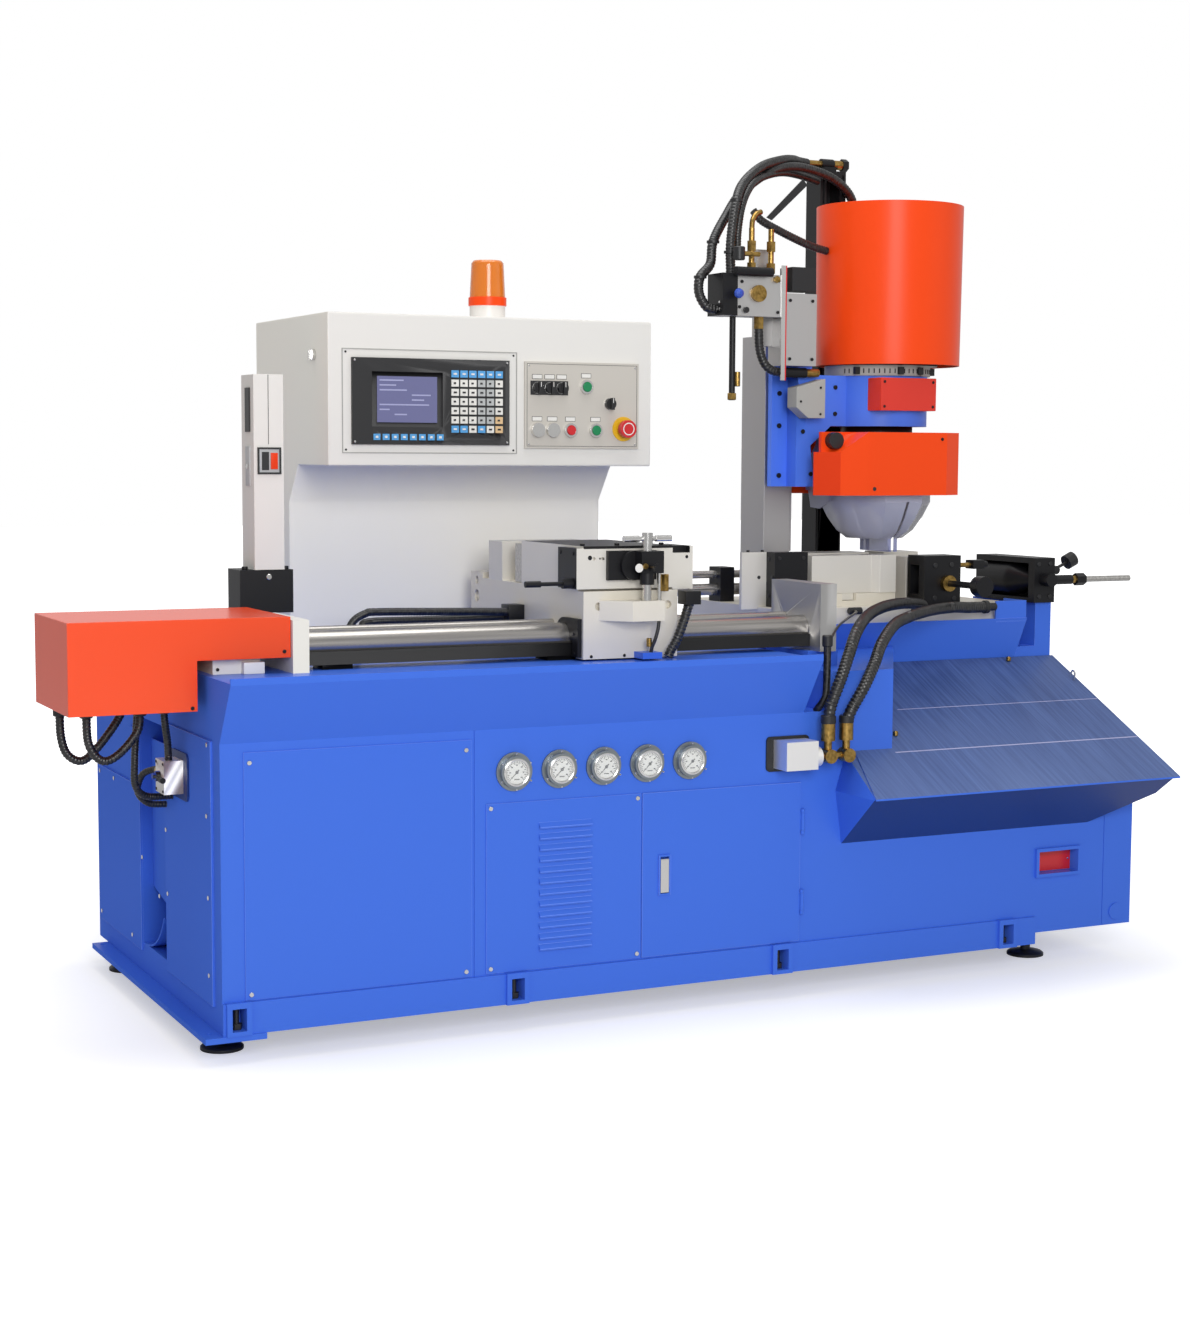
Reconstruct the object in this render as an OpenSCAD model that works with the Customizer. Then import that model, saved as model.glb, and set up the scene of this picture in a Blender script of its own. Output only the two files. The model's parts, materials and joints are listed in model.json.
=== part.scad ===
// CNC cold saw: a bar feeder on the left, a vertical saw head over the main vise on the right
// and a control console at the back. X runs along the bar from infeed to outfeed, Y from the
// operator to the back, Z up from the floor. The model is drawn from the front left corner of
// the base and then moved so that its origin is at the middle of its bounding box, on the floor.

/* [Base] */
// Length of the welded base
base_len = 2300; // [2290:5:2400]
// Depth of the welded base
base_depth = 1030; // [1030:5:1100]
// Underside of the plinth above the floor
plinth_z = 60; // [50:1:70]
// Height of the plinth
plinth_h = 66; // [60:1:72]
// Length of the plinth
plinth_len = 2010; // [1980:5:2050]
// How far the plinth steps out of the front panel
plinth_out = 6; // [3:1:10]
// Top of the base under the feeder's tray
base_top = 652; // [640:1:660]
// Length of the feeder's tray
tray_len = 1354; // [1340:1:1356]
// Floor of the feeder's tray
tray_z = 780; // [770:1:785]
// How far the tray's skirt flares out in front
skirt_out = 80; // [60:1:90]
// Thickness of the cover sheets
sheet = 3; // [2:0.5:4]
// Diameter of the levelling feet
foot_d = 90; // [80:1:100]
// Distance of the feet from the front and the back of the base
foot_inset = 128; // [110:1:150]

/* [Front panels] */
// Left end of the left panel
panel_x = 48; // [30:1:60]
// Width of the left panel
panel_w = 493; // [450:1:495]
// Left end of the vent panel
vent_x = 575; // [565:1:585]
// Width of the vent panel
vent_w = 366; // [340:1:368]
// Bottom of the vent panel and the service door
door_z = 130; // [128:1:140]
// Height of the vent panel and the service door
door_h = 364; // [350:1:368]
// Width of the service door
door_w = 402; // [380:1:404]
// Gap between the service door and the base
door_gap = 1; // [0.5:0.5:2]
// Number of louvres in the vent panel
louvre_n = 12; // [8:1:12]
// Distance between two louvres
louvre_pitch = 24; // [22:1:25]

/* [Gauges] */
// Number of pressure gauges
gauge_n = 5;
// Centre of the first gauge from the left end
gauge_x = 639; // [625:1:645]
// Distance between two gauges
gauge_pitch = 105.5; // [95:0.5:108]
// Height of the gauges
gauge_z = 560; // [550:1:570]
// Outer diameter of a gauge
gauge_d = 83; // [70:1:88]

/* [Chute] */
// Top edge of the chute, depth
chute_top_y = 330; // [320:1:335]
// Top edge of the chute, height
chute_top_z = 721; // [715:1:725]
// Lip of the chute, how far it stands out in front
chute_out = 171; // [150:1:180]
// Fall of the chute from top edge to lip
chute_fall = 249; // [240:1:255]
// Distance of the chute's left edge from the tray, at the front panel
chute_gap = 137; // [126:1:141]

/* [Feeder] */
// Front face of the feeder row
row_y = 70; // [65:1:75]
// Diameter of the guide shaft
shaft_d = 60; // [50:1:60]
// Height of the guide shaft
shaft_z = 830; // [825:1:835]
// Distance of the guide shaft behind the feeder's front face
shaft_in = 80; // [75:1:85]
// Right face of the left support block
support_x = 212; // [205:1:220]
// Distance of the end plate from the tray's right end
end_plate_gap = 84; // [66:1:91]
// Diameter of the feed screw
screw_d = 25; // [20:1:32]
// Radial clearance of a sliding or turning fit
fit = 0.05; // [0.03:0.01:0.08]
// Left face of the feed carriage
carriage_x = 835; // [800:1:850]
// Width of the feed carriage
carriage_w = 231; // [220:1:240]
// Top of the feed carriage
carriage_z = 932; // [925:1:936]
// Height of the feed vise above the carriage
feed_vise_h = 92; // [80:1:100]

/* [Main vise] */
// Front of the raised table
table_y = 330; // [320:1:335]
// Top of the bed plate
bed_z = 858; // [850:1:858]
// Middle of the bar
stock_y = 480; // [475:1:485]
// Opening between the vise jaws
jaw_gap = 56; // [40:1:60]
// Top of the vise jaws
jaw_top = 983; // [975:1:984]

/* [Saw head] */
// Distance of the saw head's middle from the right end of the base
head_in = 450; // [448:1:452]
// Distance of the blade's plane from the middle of the head
blade_off = 12; // [10:0.5:14]
// Diameter of the saw blade
blade_d = 250; // [230:5:250]
// Height of the blade's axis with the head up
blade_z = 1150; // [1150:1:1155]
// Stroke of the saw head
head_stroke = 140; // [120:1:140]
// Diameter of the motor cover at its top
motor_d = 366; // [340:1:370]
// How much narrower the motor cover is at its foot
motor_taper = 8; // [2:1:10]
// Height of the motor cover
motor_h = 394; // [370:1:400]
// Bottom of the motor cover
motor_z = 1451; // [1450:1:1455]
// Diameter of the gearbox
gear_d = 250; // [230:1:252]
// Bottom of the gearbox
gear_z = 1300; // [1298:1:1302]
// Height of the gearbox
gear_h = 124; // [110:1:125]

/* [Columns] */
// Width of the silver column
column_w = 75; // [70:1:80]
// Depth of the silver column
column_t = 115; // [105:1:120]
// Top of the silver column
column_top = 1497; // [1497:1:1510]
// Width of the black column
mast_w = 76; // [70:1:80]
// Depth of the black column
mast_t = 70; // [68:1:80]
// Top of the black column
mast_top = 1955; // [1940:1:1960]

/* [Console] */
// Left face of the console
console_x = 405; // [400:1:410]
// Width of the console
console_w = 815; // [810:1:830]
// Front of the console
console_y = 500; // [498:1:505]
// Bottom of the console
console_z = 1200; // [1195:1:1205]
// Height of the console
console_h = 343; // [340:1:350]
// Distance of the operator's plate from the left face of the console
plate_in = 481; // [475:1:485]
// Width of the operator's plate
plate_w = 298; // [290:1:300]
// Front of the cabinet under the console
cabinet_y = 780; // [770:1:790]
// Diameter of a push button's bezel
bezel_d = 33; // [28:1:34]
// Travel of a push button
button_travel = 4; // [2:0.5:5]

/* [Hidden] */
$fn = 64;

blue = "royalblue";
orange = "orangered";
cream = "gainsboro";
steel = "silver";
black = "dimgray";

// Base
body_z = plinth_z + 26;
lip_h = 10;
flange_t = 12;
flange_out = 38;
flange_y = [-10, base_depth - 80];
foot_h = plinth_z - flange_t;
door_x = vent_x + vent_w + 4;
door_right = door_x + door_w;
hinge_d = 9;
hinge_pin_d = 5;
hinge_x = door_right + 5;
hinge_y = -(door_gap + hinge_d / 2);
hinge_zs = [door_z + 70, door_z + door_h - 110];
knuckle_h = 40;
latch_x = door_x + 54;
latch_z = door_z + 180;
latch_size = [30, 90];
latch_pin_z = latch_z + latch_size[1] / 2 - 12;
bay_x = tray_len + 57;
bay_corner = tray_len + 239;
bay_top = 741;
bay_slope = 219;
chute_x = tray_len + chute_gap;
end_plate_x = tray_len + end_plate_gap;
union_x = tray_len - 98;
chute_t = 4;
table_foot_z = chute_top_z - chute_t;
pocket_xs = [32, 645, 1300, plinth_len - 85];
foot_xs = [36, base_len - 217];
window_x = base_len - 226;
window_z = 256;

// Chute
chute_slope = chute_fall / (chute_top_y + chute_out);
function chute_at(y) = chute_top_z - (chute_top_y - y) * chute_slope;

// Raised table
table_x = tray_len + 2;
table_right = base_len - 104;
table_h = 104;
table_top = table_foot_z + table_h;
table_flare = 30;
table_back = 830;
table_floor = bed_z - 46;
function table_face(z) = table_y - table_flare * (z - table_foot_z) / table_h;

// Feeder
shaft_y = row_y + shaft_in;
screw_y = shaft_y + 80;
screw_z = shaft_z + 20;
collar_w = 10;
bar_y = 660;
bar_zs = [shaft_z + 96, shaft_z + 58];
bar_ds = [20, 30];
carriage_right = carriage_x + carriage_w;
vise_z = carriage_z + 5;
vise_top = vise_z + feed_vise_h - 5;
jaw_front = stock_y - jaw_gap / 2;
jaw_back = stock_y + jaw_gap / 2;
clamp_x = carriage_x + 128;

// Saw head
head_x = base_len - head_in;
head_y = stock_y;
blade_x = head_x + blade_off;
blade_t = 2.5;
arbor_d = 25;
housing_d = 50;
flange_d = 60;
saddle_y = 500;
column_x = head_x - 301;
column_right = column_x + column_w;
column_y = 520;
mast_x = head_x - 50;
mast_y = 680;
mast_slot = 40;
rail_w = 20;
rail_h = 14;
rail_ys = [column_y + 25, column_y + column_t - 25];
cheek_x = column_right + rail_h + 8;
motor_x = head_x + 30;
guard_z = 1131;
guard_h = 154;
hood_z = 1021;
hood_h = guard_z + 8 - hood_z;
hood_lip = 72;
hood_r = 141;
hood_wall = 4;
nozzle_h = 33;
oil_z = gear_z + 128;
shield_x = head_x - 141;

// Console
panel_y = console_y;
button_y = panel_y - 6;
bezel_h = 8;
row_low = console_z + 84;
row_high = console_z + 184;

// A block between two limits along each axis
module block(x0, x1, y0, y1, z0, z1) {
    translate([x0, y0, z0]) cube([x1 - x0, y1 - y0, z1 - z0]);
}

// A round bar along X, Y or Z between two limits
module rod_x(x0, x1, y, z, d, sides = 64) {
    translate([x0, y, z]) rotate([0, 90, 0]) cylinder(d = d, h = x1 - x0, $fn = sides);
}

module rod_y(y0, y1, x, z, d, sides = 64) {
    translate([x, y1, z]) rotate([90, 0, 0]) cylinder(d = d, h = y1 - y0, $fn = sides);
}

module rod_z(z0, z1, x, y, d, sides = 64) {
    translate([x, y, z0]) cylinder(d = d, h = z1 - z0, $fn = sides);
}

// A profile in Y and Z, drawn out along X
module along_x(x0, x1) {
    translate([x0, 0, 0]) rotate([90, 0, 90]) linear_extrude(x1 - x0) children();
}

// A profile in X and Z, drawn out along Y
module along_y(y0, y1) {
    translate([0, y1, 0]) rotate([90, 0, 0]) linear_extrude(y1 - y0) children();
}

// A profile in X and Y, drawn out along Z
module along_z(z0, z1) {
    translate([0, 0, z0]) linear_extrude(z1 - z0) children();
}

// A rectangle with round corners
module round_rect(x0, x1, z0, z1, r) {
    union() {
        translate([x0 + r, z0]) square([x1 - x0 - 2 * r, z1 - z0]);
        translate([x0, z0 + r]) square([x1 - x0, z1 - z0 - 2 * r]);
        for (x = [x0 + r, x1 - r], z = [z0 + r, z1 - r]) translate([x, z]) circle(r, $fn = 32);
    }
}

// A hose through the given points; up is any direction that the hose never runs along.
// Its ends are square to the axis that they run nearest to, so that they seat on flat faces.
function unit(v) = v / norm(v);
function main_axis(v) = let (a = [for (c = v) abs(c)]) [for (k = [0 : 2]) a[k] == max(a) ? sign(v[k]) : 0];
function heading(p, i) =
    i == 0 ? main_axis(p[1] - p[0])
    : i == len(p) - 1 ? main_axis(p[i] - p[i - 1])
    : unit(p[i + 1] - p[i - 1]);
function side_of(p, i, up) = unit(cross(heading(p, i), up));

module hose(points, d, up = [0, 0, 1], sides = 8) {
    rings = len(points);
    skin = [
        for (i = [0 : rings - 1], k = [0 : sides - 1])
            let (s = side_of(points, i, up), t = cross(heading(points, i), s), a = 360 * k / sides)
                points[i] + d / 2 * (s * cos(a) + t * sin(a))
    ];
    walls = [
        for (i = [0 : rings - 2], k = [0 : sides - 1])
            let (n = (k + 1) % sides)
                [i * sides + k, (i + 1) * sides + k, (i + 1) * sides + n, i * sides + n]
    ];
    first = [for (k = [0 : sides - 1]) k];
    last = [for (k = [0 : sides - 1]) rings * sides - 1 - k];
    polyhedron(points = skin, faces = concat(walls, [first, last]), convexity = 6);
}

// ---------------------------------------------------------------- base

// The curved sheet at the foot of the recess in the left end
module recess_trough() {
    centre = [585, 299];
    outer = 172;
    along_x(0, 90) intersection() {
        difference() {
            translate(centre) circle(outer);
            translate(centre) circle(outer - 4);
        }
        translate([centre[0] - 172, centre[1] - outer]) square([172, 90]);
    }
}

// A pocket frame in the plinth that gives access to a levelling bolt
module pocket_frame(x) {
    difference() {
        block(x - 26, x + 26, -plinth_out - 8, 60, plinth_z, plinth_z + plinth_h + 2);
        block(x - 15, x + 15, -plinth_out - 9, 36, plinth_z + 9, plinth_z + plinth_h - 10);
    }
}

// The two hinge lugs with their pin that carry one knuckle of the service door
module hinge_lugs(z) {
    lug_h = 8;
    for (low = [z - lug_h - 0.5, z + knuckle_h + 0.5]) {
        rod_z(low, low + lug_h, hinge_x, hinge_y, hinge_d);
        block(hinge_x, hinge_x + hinge_d / 2, hinge_y, 0, low, low + lug_h);
    }
    rod_z(z - lug_h, z + knuckle_h + lug_h, hinge_x, hinge_y, hinge_pin_d);
}

module base_body() {
    // feeder part with its flared tray
    along_x(0, tray_len) polygon([
        [0, body_z], [base_depth, body_z], [base_depth, tray_z], [sheet - skirt_out, tray_z],
        [sheet - skirt_out, tray_z + lip_h], [-skirt_out, tray_z + lip_h],
        [-skirt_out, tray_z - 4], [0, base_top]
    ]);
    // saw part with the slope that carries the chute
    along_x(tray_len, base_len) polygon([
        [0, body_z], [base_depth, body_z], [base_depth, table_foot_z], [chute_top_y, table_foot_z],
        [chute_top_y, chute_at(chute_top_y) - chute_t], [0, chute_at(0) - chute_t]
    ]);
    block(tray_len, bay_x, 0, chute_top_y, body_z, base_top);
    // hose bay between the tray and the chute
    intersection() {
        along_z(body_z, bay_top + 30) polygon([
            [bay_x, 0], [bay_corner, 0], [bay_corner + bay_slope, chute_top_y], [bay_x, chute_top_y]
        ]);
        along_x(bay_x - 1, bay_corner + bay_slope + 1) polygon([
            [0, body_z], [0, bay_top], [table_face(bay_top + 18), bay_top + 18],
            [table_y, table_foot_z], [table_y, body_z]
        ]);
    }
    // pedestal of the feeder's end plate
    block(end_plate_x - 20, end_plate_x + 60, row_y + 20, row_y + 210, bay_top - 10, tray_z);
    // plinth, front and back
    block(0, plinth_len, -plinth_out, 60, plinth_z, plinth_z + plinth_h);
    block(0, plinth_len, base_depth - 60, base_depth, plinth_z, plinth_z + plinth_h);
    // flange plate under the left end
    block(-flange_out, 90, flange_y[0], flange_y[1], foot_h, foot_h + flange_t);
    block(0, 60, 0, base_depth, plinth_z, body_z);
    // frame of the slot window and the plug in the end strip
    block(window_x - 66, window_x + 66, -8, 0, window_z - 35, window_z + 35);
    rod_y(-3, 0, base_len - 45, 118, 40);
}

module base_frame() {
    seam = 2;
    recess_y = [399, 613];
    color(blue) {
        difference() {
            base_body();
            // pockets for the levelling bolts
            for (x = pocket_xs)
                block(x - 26, x + 26, -plinth_out - 1, 60, plinth_z, plinth_z + plinth_h + 2);
            // service compartment behind the door and chamber behind the vent panel
            block(door_x + 15, door_right - 15, -1, 320, door_z + 12, door_z + door_h - 12);
            block(vent_x + 20, vent_x + vent_w - 20, -1, 120, door_z + 20, door_z + door_h - 20);
            // recess in the left end
            block(-1, 90, recess_y[0], recess_y[1], 128, 640);
            // seams between the welded sections
            block(panel_x + panel_w + 6, panel_x + panel_w + 6 + seam, -1, 2, plinth_z + plinth_h, base_top);
            block(base_len - 87, base_len - 87 + seam, -1, 2, body_z - 1, chute_at(0));
            // slot window
            block(window_x - 58, window_x + 58, -9, 30, window_z - 27, window_z + 27);
            // anchor holes in the flange plate
            for (y = [flange_y[0] + 40, flange_y[1] - 24])
                rod_z(foot_h - 1, foot_h + flange_t + 1, -flange_out / 2, y, 10);
        }
        for (x = pocket_xs) pocket_frame(x);
        recess_trough();
        for (z = hinge_zs) hinge_lugs(z);
    }
}

module levelling_feet() {
    pad_h = 10;
    color(black) {
        // adjustable feet under the flange plate and under the body
        for (x = foot_xs, y = [foot_inset, base_depth - foot_inset]) {
            top = x == foot_xs[0] ? foot_h : body_z;
            translate([x, y, 0]) rotate_extrude() polygon([
                [0, 0], [foot_d / 2, 0], [foot_d / 2, pad_h - 4], [foot_d / 2 - 5, pad_h],
                [16, pad_h + 5], [12, pad_h + 5], [12, top], [0, top]
            ]);
        }
        // levelling bolts with their lock nuts in the plinth pockets
        for (x = pocket_xs) {
            rod_z(plinth_z + 9, plinth_z + plinth_h - 16, x, 12, 12);
            rod_z(plinth_z + 9, plinth_z + 21, x, 12, 24, 6);
        }
    }
}

// One pressed louvre of the vent panel, with its slit underneath
module louvre(x0, x1, z) {
    depth = 7;
    along_x(x0, x1) polygon([
        [-sheet, z + 13], [-sheet - depth, z + 3], [-sheet - depth, z], [-sheet - depth + 2, z],
        [-sheet - depth + 2, z + 2], [-sheet, z + 10]
    ]);
}

module cover_sheets() {
    vent_z = door_z + 40;
    louvre_x = vent_x + 122;
    color(blue) {
        // left panel
        block(panel_x, panel_x + panel_w, -sheet, 0, plinth_z + plinth_h + 3, base_top - 19);
        // vent panel
        difference() {
            block(vent_x, vent_x + vent_w, -sheet, 0, door_z, door_z + door_h);
            for (i = [0 : louvre_n - 1])
                block(louvre_x + 2, louvre_x + 122, -sheet - 1, 1,
                    vent_z + i * louvre_pitch, vent_z + i * louvre_pitch + 9);
        }
        for (i = [0 : louvre_n - 1])
            louvre(louvre_x, louvre_x + 124, vent_z + i * louvre_pitch);
        // covers on the left end
        block(-5, 0, 50, 399, 110, base_top);
        difference() {
            block(-5, 0, 613, base_depth - 40, 110, 610);
            block(-6, 1, 700, base_depth, 483, 611);
        }
        along_x(24, 27) polygon([[613, 256], [440, 222], [440, 560], [500, 590], [613, 590]]);
    }
    // window in the slot
    color("firebrick") block(window_x - 57.5, window_x + 57.5, 24, 30, window_z - 26.5, window_z + 26.5);
}

module service_door() {
    rim = 4;
    half = latch_size / 2;
    color(blue) difference() {
        union() {
            block(door_x, door_right, -door_gap - sheet, -door_gap, door_z, door_z + door_h);
            for (z = hinge_zs) {
                rod_z(z, z + knuckle_h, hinge_x, hinge_y, hinge_d);
                block(door_right - 2, hinge_x, -door_gap - sheet, -door_gap, z, z + knuckle_h);
            }
            // rim and cup of the flush latch
            block(latch_x - half[0], latch_x + half[0], -door_gap - sheet - rim, -door_gap,
                latch_z - half[1], latch_z + half[1]);
            block(latch_x - half[0], latch_x + half[0], -door_gap - 1, 10,
                latch_z - half[1], latch_z + half[1]);
        }
        for (z = hinge_zs) rod_z(z - 1, z + knuckle_h + 1, hinge_x, hinge_y, hinge_pin_d + 2 * fit);
        block(latch_x - half[0] + 4, latch_x + half[0] - 4, -20, 6,
            latch_z - half[1] + 4, latch_z + half[1] - 4);
        rod_x(latch_x - half[0] + 1, latch_x + half[0] - 1, -door_gap - sheet, latch_pin_z, 4 + 2 * fit);
    }
}

module door_latch() {
    half = latch_size / 2;
    y = -door_gap - sheet;
    color(steel) {
        rod_x(latch_x - half[0] + 1.3, latch_x + half[0] - 1.3, y, latch_pin_z, 4);
        rod_x(latch_x - half[0] + 5, latch_x + half[0] - 5, y, latch_pin_z, 7);
        block(latch_x - half[0] + 5, latch_x + half[0] - 5, y - 3.5, y + 0.5,
            latch_z - half[1] + 6, latch_pin_z);
    }
}

module pressure_gauges() {
    color(black) for (i = [0 : gauge_n - 1]) {
        x = gauge_x + i * gauge_pitch;
        difference() {
            union() {
                rod_y(-5, 0, x, gauge_z, gauge_d);
                rod_y(-16, 0, x, gauge_z, gauge_d - 14);
            }
            rod_y(-17, -8, x, gauge_z, gauge_d - 24);
        }
        // hub and needle
        rod_y(-12, -8, x, gauge_z, 9);
        translate([x, 0, gauge_z]) rotate([0, -40, 0]) block(-1, 1, -11, -9.5, -12, gauge_d / 2 - 16);
    }
}

module chute() {
    right = base_len - 1;
    box_x = chute_x - 32;
    chute_end_y = min(chute_top_y, table_y) - 3;
    color("steelblue") {
        // sloping plate
        intersection() {
            along_z(300, 900) polygon([
                [right, -chute_out], [right, chute_top_y], [bay_corner + bay_slope, chute_top_y],
                [bay_corner, 0], [chute_x, 0], [chute_x - 52, -chute_out]
            ]);
            along_x(chute_x - 60, right + 1) polygon([
                [-chute_out - 1, chute_at(-chute_out - 1)], [chute_end_y, chute_at(chute_end_y)],
                [chute_end_y, chute_at(chute_end_y) - chute_t],
                [-chute_out - 1, chute_at(-chute_out - 1) - chute_t]
            ]);
        }
    }
    color(blue) {
        // box under the lip
        intersection() {
            along_x(box_x - 20, right) polygon([
                [-chute_out + 6, chute_at(-chute_out + 6) - chute_t], [0, chute_at(0) - chute_t], [0, 345]
            ]);
            along_y(-chute_out - 1, 1) polygon([
                [box_x, 344], [right - 138, 344], [right - 15, 423], [right, 600],
                [chute_x - 10, 600], [chute_x - 50, chute_at(-chute_out) - chute_t]
            ]);
        }
    }
}

module raised_table() {
    flare = table_flare;
    right = table_right;
    color(blue) {
        // tray with a flared front
        difference() {
            along_x(table_x, right) polygon([
                [table_y, table_foot_z], [table_y - flare, table_top], [table_y - flare + 8, table_top],
                [table_y - flare + 12, table_floor], [table_back, table_floor], [table_back, table_foot_z]
            ]);
            along_y(table_y - flare - 1, table_back + 1) polygon([
                [right - 16, table_foot_z], [right + 1, table_top + 2], [right + 1, table_foot_z - 1],
                [right - 16, table_foot_z - 1]
            ]);
        }
        // raised lip at the right end
        block(right - 95, right - 2, table_y - flare + 2, table_y - flare + 8, table_floor, table_top + 44);
        block(right - 8, right - 2, table_y - flare + 2, table_y + 60, table_floor, table_top + 44);
        // bracket that carries the outfeed clamp
        block(base_len - 140, base_len - 7, table_y, 600, table_foot_z, table_foot_z + 28);
        block(base_len - 56, base_len - 7, table_y, 600, table_foot_z, bed_z - 2);
    }
}

module union_block() {
    y = -40;
    z = 556;
    block_w = 82;
    block_x = union_x + 18;
    xs = [union_x + 138, union_x + 186];
    color(black) along_y(-4, 0) round_rect(union_x, block_x + block_w + 11, 522, 601, 10);
    color(steel) {
        block(block_x, block_x + block_w, y - 22, -4, 530, 594);
        rod_x(block_x + block_w, block_x + block_w + 14, y, z, 44);
    }
    color("goldenrod") {
        rod_x(block_x + block_w + 14, xs[1], y, z, 18);
        for (x = xs) {
            rod_y(y - 17, y + 15, x, z, 32);
            rod_z(z, z + 34, x, y, 18);
            rod_z(z + 34, z + 74, x, y, 32);
        }
    }
}

// Hoses that run between fixed pieces of the machine
loop_1 = [[-257, 262, 709.5], [-255, 262, 650], [-242, 262, 612], [-212, 262, 598], [-178, 262, 626],
    [-136, 262, 682], [-130, 262, 709.5]];
loop_2 = [[-216, 205, 709.5], [-212, 205, 640], [-186, 205, 604], [-152, 205, 614], [-112, 205, 660],
    [-106, 205, 709.5]];
drop_1 = [[-86, 300, 709.5], [-90, 302, 650], [-92, 310, 580], [-88, 320, 530], [-62, 330, 505],
    [-5.2, 336, 502]];
drop_2 = [[-52, 225, 709.5], [-48, 228, 670], [-40, 240, 630], [-36, 250, 600], [-34, 255, 590.2]];
union_loop = [[-38, 318.2, 560], [-42, 338, 560], [-62, 364, 546], [-68, 382, 508], [-44, 387, 481],
    [-5.2, 387, 476]];
conduit_1 = [[1394, -40, 630.2], [1398, -44, 670], [1422, -46, 730], [1455, -25, 780],
    [1498, 10, 829], [1580, 90, 858], [1678, 165, 872], [1790, 240, 872], [1862, 280, 862],
    [1880, 334.8, 845]];
conduit_2 = [[1442, -40, 630.2], [1452, -46, 660], [1484, -45, 708], [1524, -24, 756],
    [1566, 10, 799], [1638, 70, 834], [1715, 130, 846], [1820, 190, 856], [1921, 240, 858],
    [2000, 280, 853], [2062, 304, 851]];
cable_drop = [[1405, -14, 806], [1405, -14, 760], [1404, -14, 700], [1400, -12, 680], [1394, 12, 652.2]];
cable_lead = [[1407, -14, 806.2], [1425, -2, 822], [1480, 60, 838], [1560, 150, 846], [1650, 250, 852],
    [1690, 318, 850]];

module fixed_hoses() {
    color(black) {
        hose(loop_1, 18, [0, 1, 0]);
        hose(loop_2, 18, [0, 1, 0]);
        hose(drop_1, 16, [0.3, 1, 0]);
        hose(drop_2, 16, [1, 0.2, 0]);
        hose(union_loop, 15, [1, 0, 0.3]);
        hose(conduit_1, 28, [1, -1, 0]);
        hose(conduit_2, 28, [1, -1, 0]);
        hose(cable_drop, 17, [1, 0, 0]);
        hose(cable_lead, 6, [0, 0, 1], 6);
        // plug of the rear conduit, on the lip of the raised table
        rod_x(2062, table_right - 95, table_y - table_flare + 5, 851, 20);
    }
}

// ---------------------------------------------------------------- bar feeder

cover_x = [-280, -20, support_x - 36];
cover_y = [row_y + 10, row_y + 308];
cover_z = [710, tray_z + 32, tray_z + 116];

// Outline of the drive cover, seen from the front, moved in by a distance
module cover_outline(inset) {
    polygon([
        [cover_x[0] + inset, cover_z[0] + inset], [cover_x[1] - inset, cover_z[0] + inset],
        [cover_x[1] - inset, cover_z[1] + inset], [cover_x[2] + 1, cover_z[1] + inset],
        [cover_x[2] + 1, cover_z[2] - inset], [cover_x[0] + inset, cover_z[2] - inset]
    ]);
}

module feed_cover() {
    color(orange) difference() {
        intersection() {
            along_y(cover_y[0], cover_y[1]) cover_outline(0);
            block(cover_x[0], cover_x[2], cover_y[0], cover_y[1], 0, 1000);
        }
        along_y(cover_y[0] + sheet, cover_y[1] - sheet) cover_outline(sheet);
    }
}

module feed_motor() {
    size = 66;
    low = cover_z[1] + sheet;
    color(black) {
        // beam that carries the motor and the feed screw's bearing
        block(-240, cover_x[2] - 4, screw_y - 30, screw_y + 30, low, low + 5);
        // motor with its flange
        block(-236, -80, screw_y - size / 2, screw_y + size / 2, low + 5, screw_z + size / 2);
        block(-80, -70, screw_y - size / 2 - 4, screw_y + size / 2 + 4, low + 5, screw_z + size / 2 + 4);
    }
}

module valve_block() {
    color(blue) along_x(-9, -5) round_rect(205, 330, 506, 606, 14);
    color(steel) block(-50, -9, 235, 300, 520, 590);
    color("goldenrod") rod_y(300, 318, -38, 560, 22);
}

module valve_lever() {
    y = 268;
    z = 556;
    color(blue) {
        rod_x(-60, -50.3, y, z, 22);
        rod_x(-66, -60, y, z, 14);
    }
    color(black) {
        rod_y(y - 55, y, -63, z, 5);
        rod_y(y - 74, y - 55, -63, z, 12);
    }
}

module feeder_rail() {
    cradle_y = 36;
    back = row_y + 220;
    color(cream) {
        // left support block and the foot under the drive cover
        difference() {
            block(support_x - 35, support_x, row_y, back, tray_z, tray_z + 109);
            rod_x(support_x - 36, support_x + 1, screw_y, screw_z, screw_d + 2 * fit);
        }
        block(20, 120, row_y + 40, row_y + 260, tray_z, cover_z[1]);
    }
    // right end plate
    color(steel) difference() {
        block(end_plate_x, end_plate_x + 43, row_y, back, tray_z, tray_z + 155);
        rod_x(end_plate_x - 1, end_plate_x + 25, screw_y, screw_z, screw_d - 5 + 2 * fit);
    }
    // cradle under the guide shaft, with its feet
    color(black) {
        difference() {
            block(support_x + collar_w + 1, end_plate_x, shaft_y - cradle_y, shaft_y + cradle_y,
                tray_z + 10, shaft_z - 12);
            rod_x(support_x - 1, end_plate_x + 1, shaft_y, shaft_z, shaft_d);
        }
        for (x = [support_x + 45, support_x + 560])
            block(x, x + 66, shaft_y - cradle_y + 4, shaft_y + cradle_y - 4, tray_z, tray_z + 10);
    }
}

module guide_shaft() {
    color(steel) rod_x(support_x, end_plate_x, shaft_y, shaft_z, shaft_d);
    color(black) rod_x(support_x, support_x + collar_w, shaft_y, shaft_z, shaft_d + 8);
}

module feed_screw() {
    color(steel) {
        rod_x(-69.5, -30, screw_y, screw_z, 38);
        rod_x(-30, end_plate_x - 0.5, screw_y, screw_z, screw_d);
        rod_x(end_plate_x - 0.5, end_plate_x + 22, screw_y, screw_z, screw_d - 5);
    }
}

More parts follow.
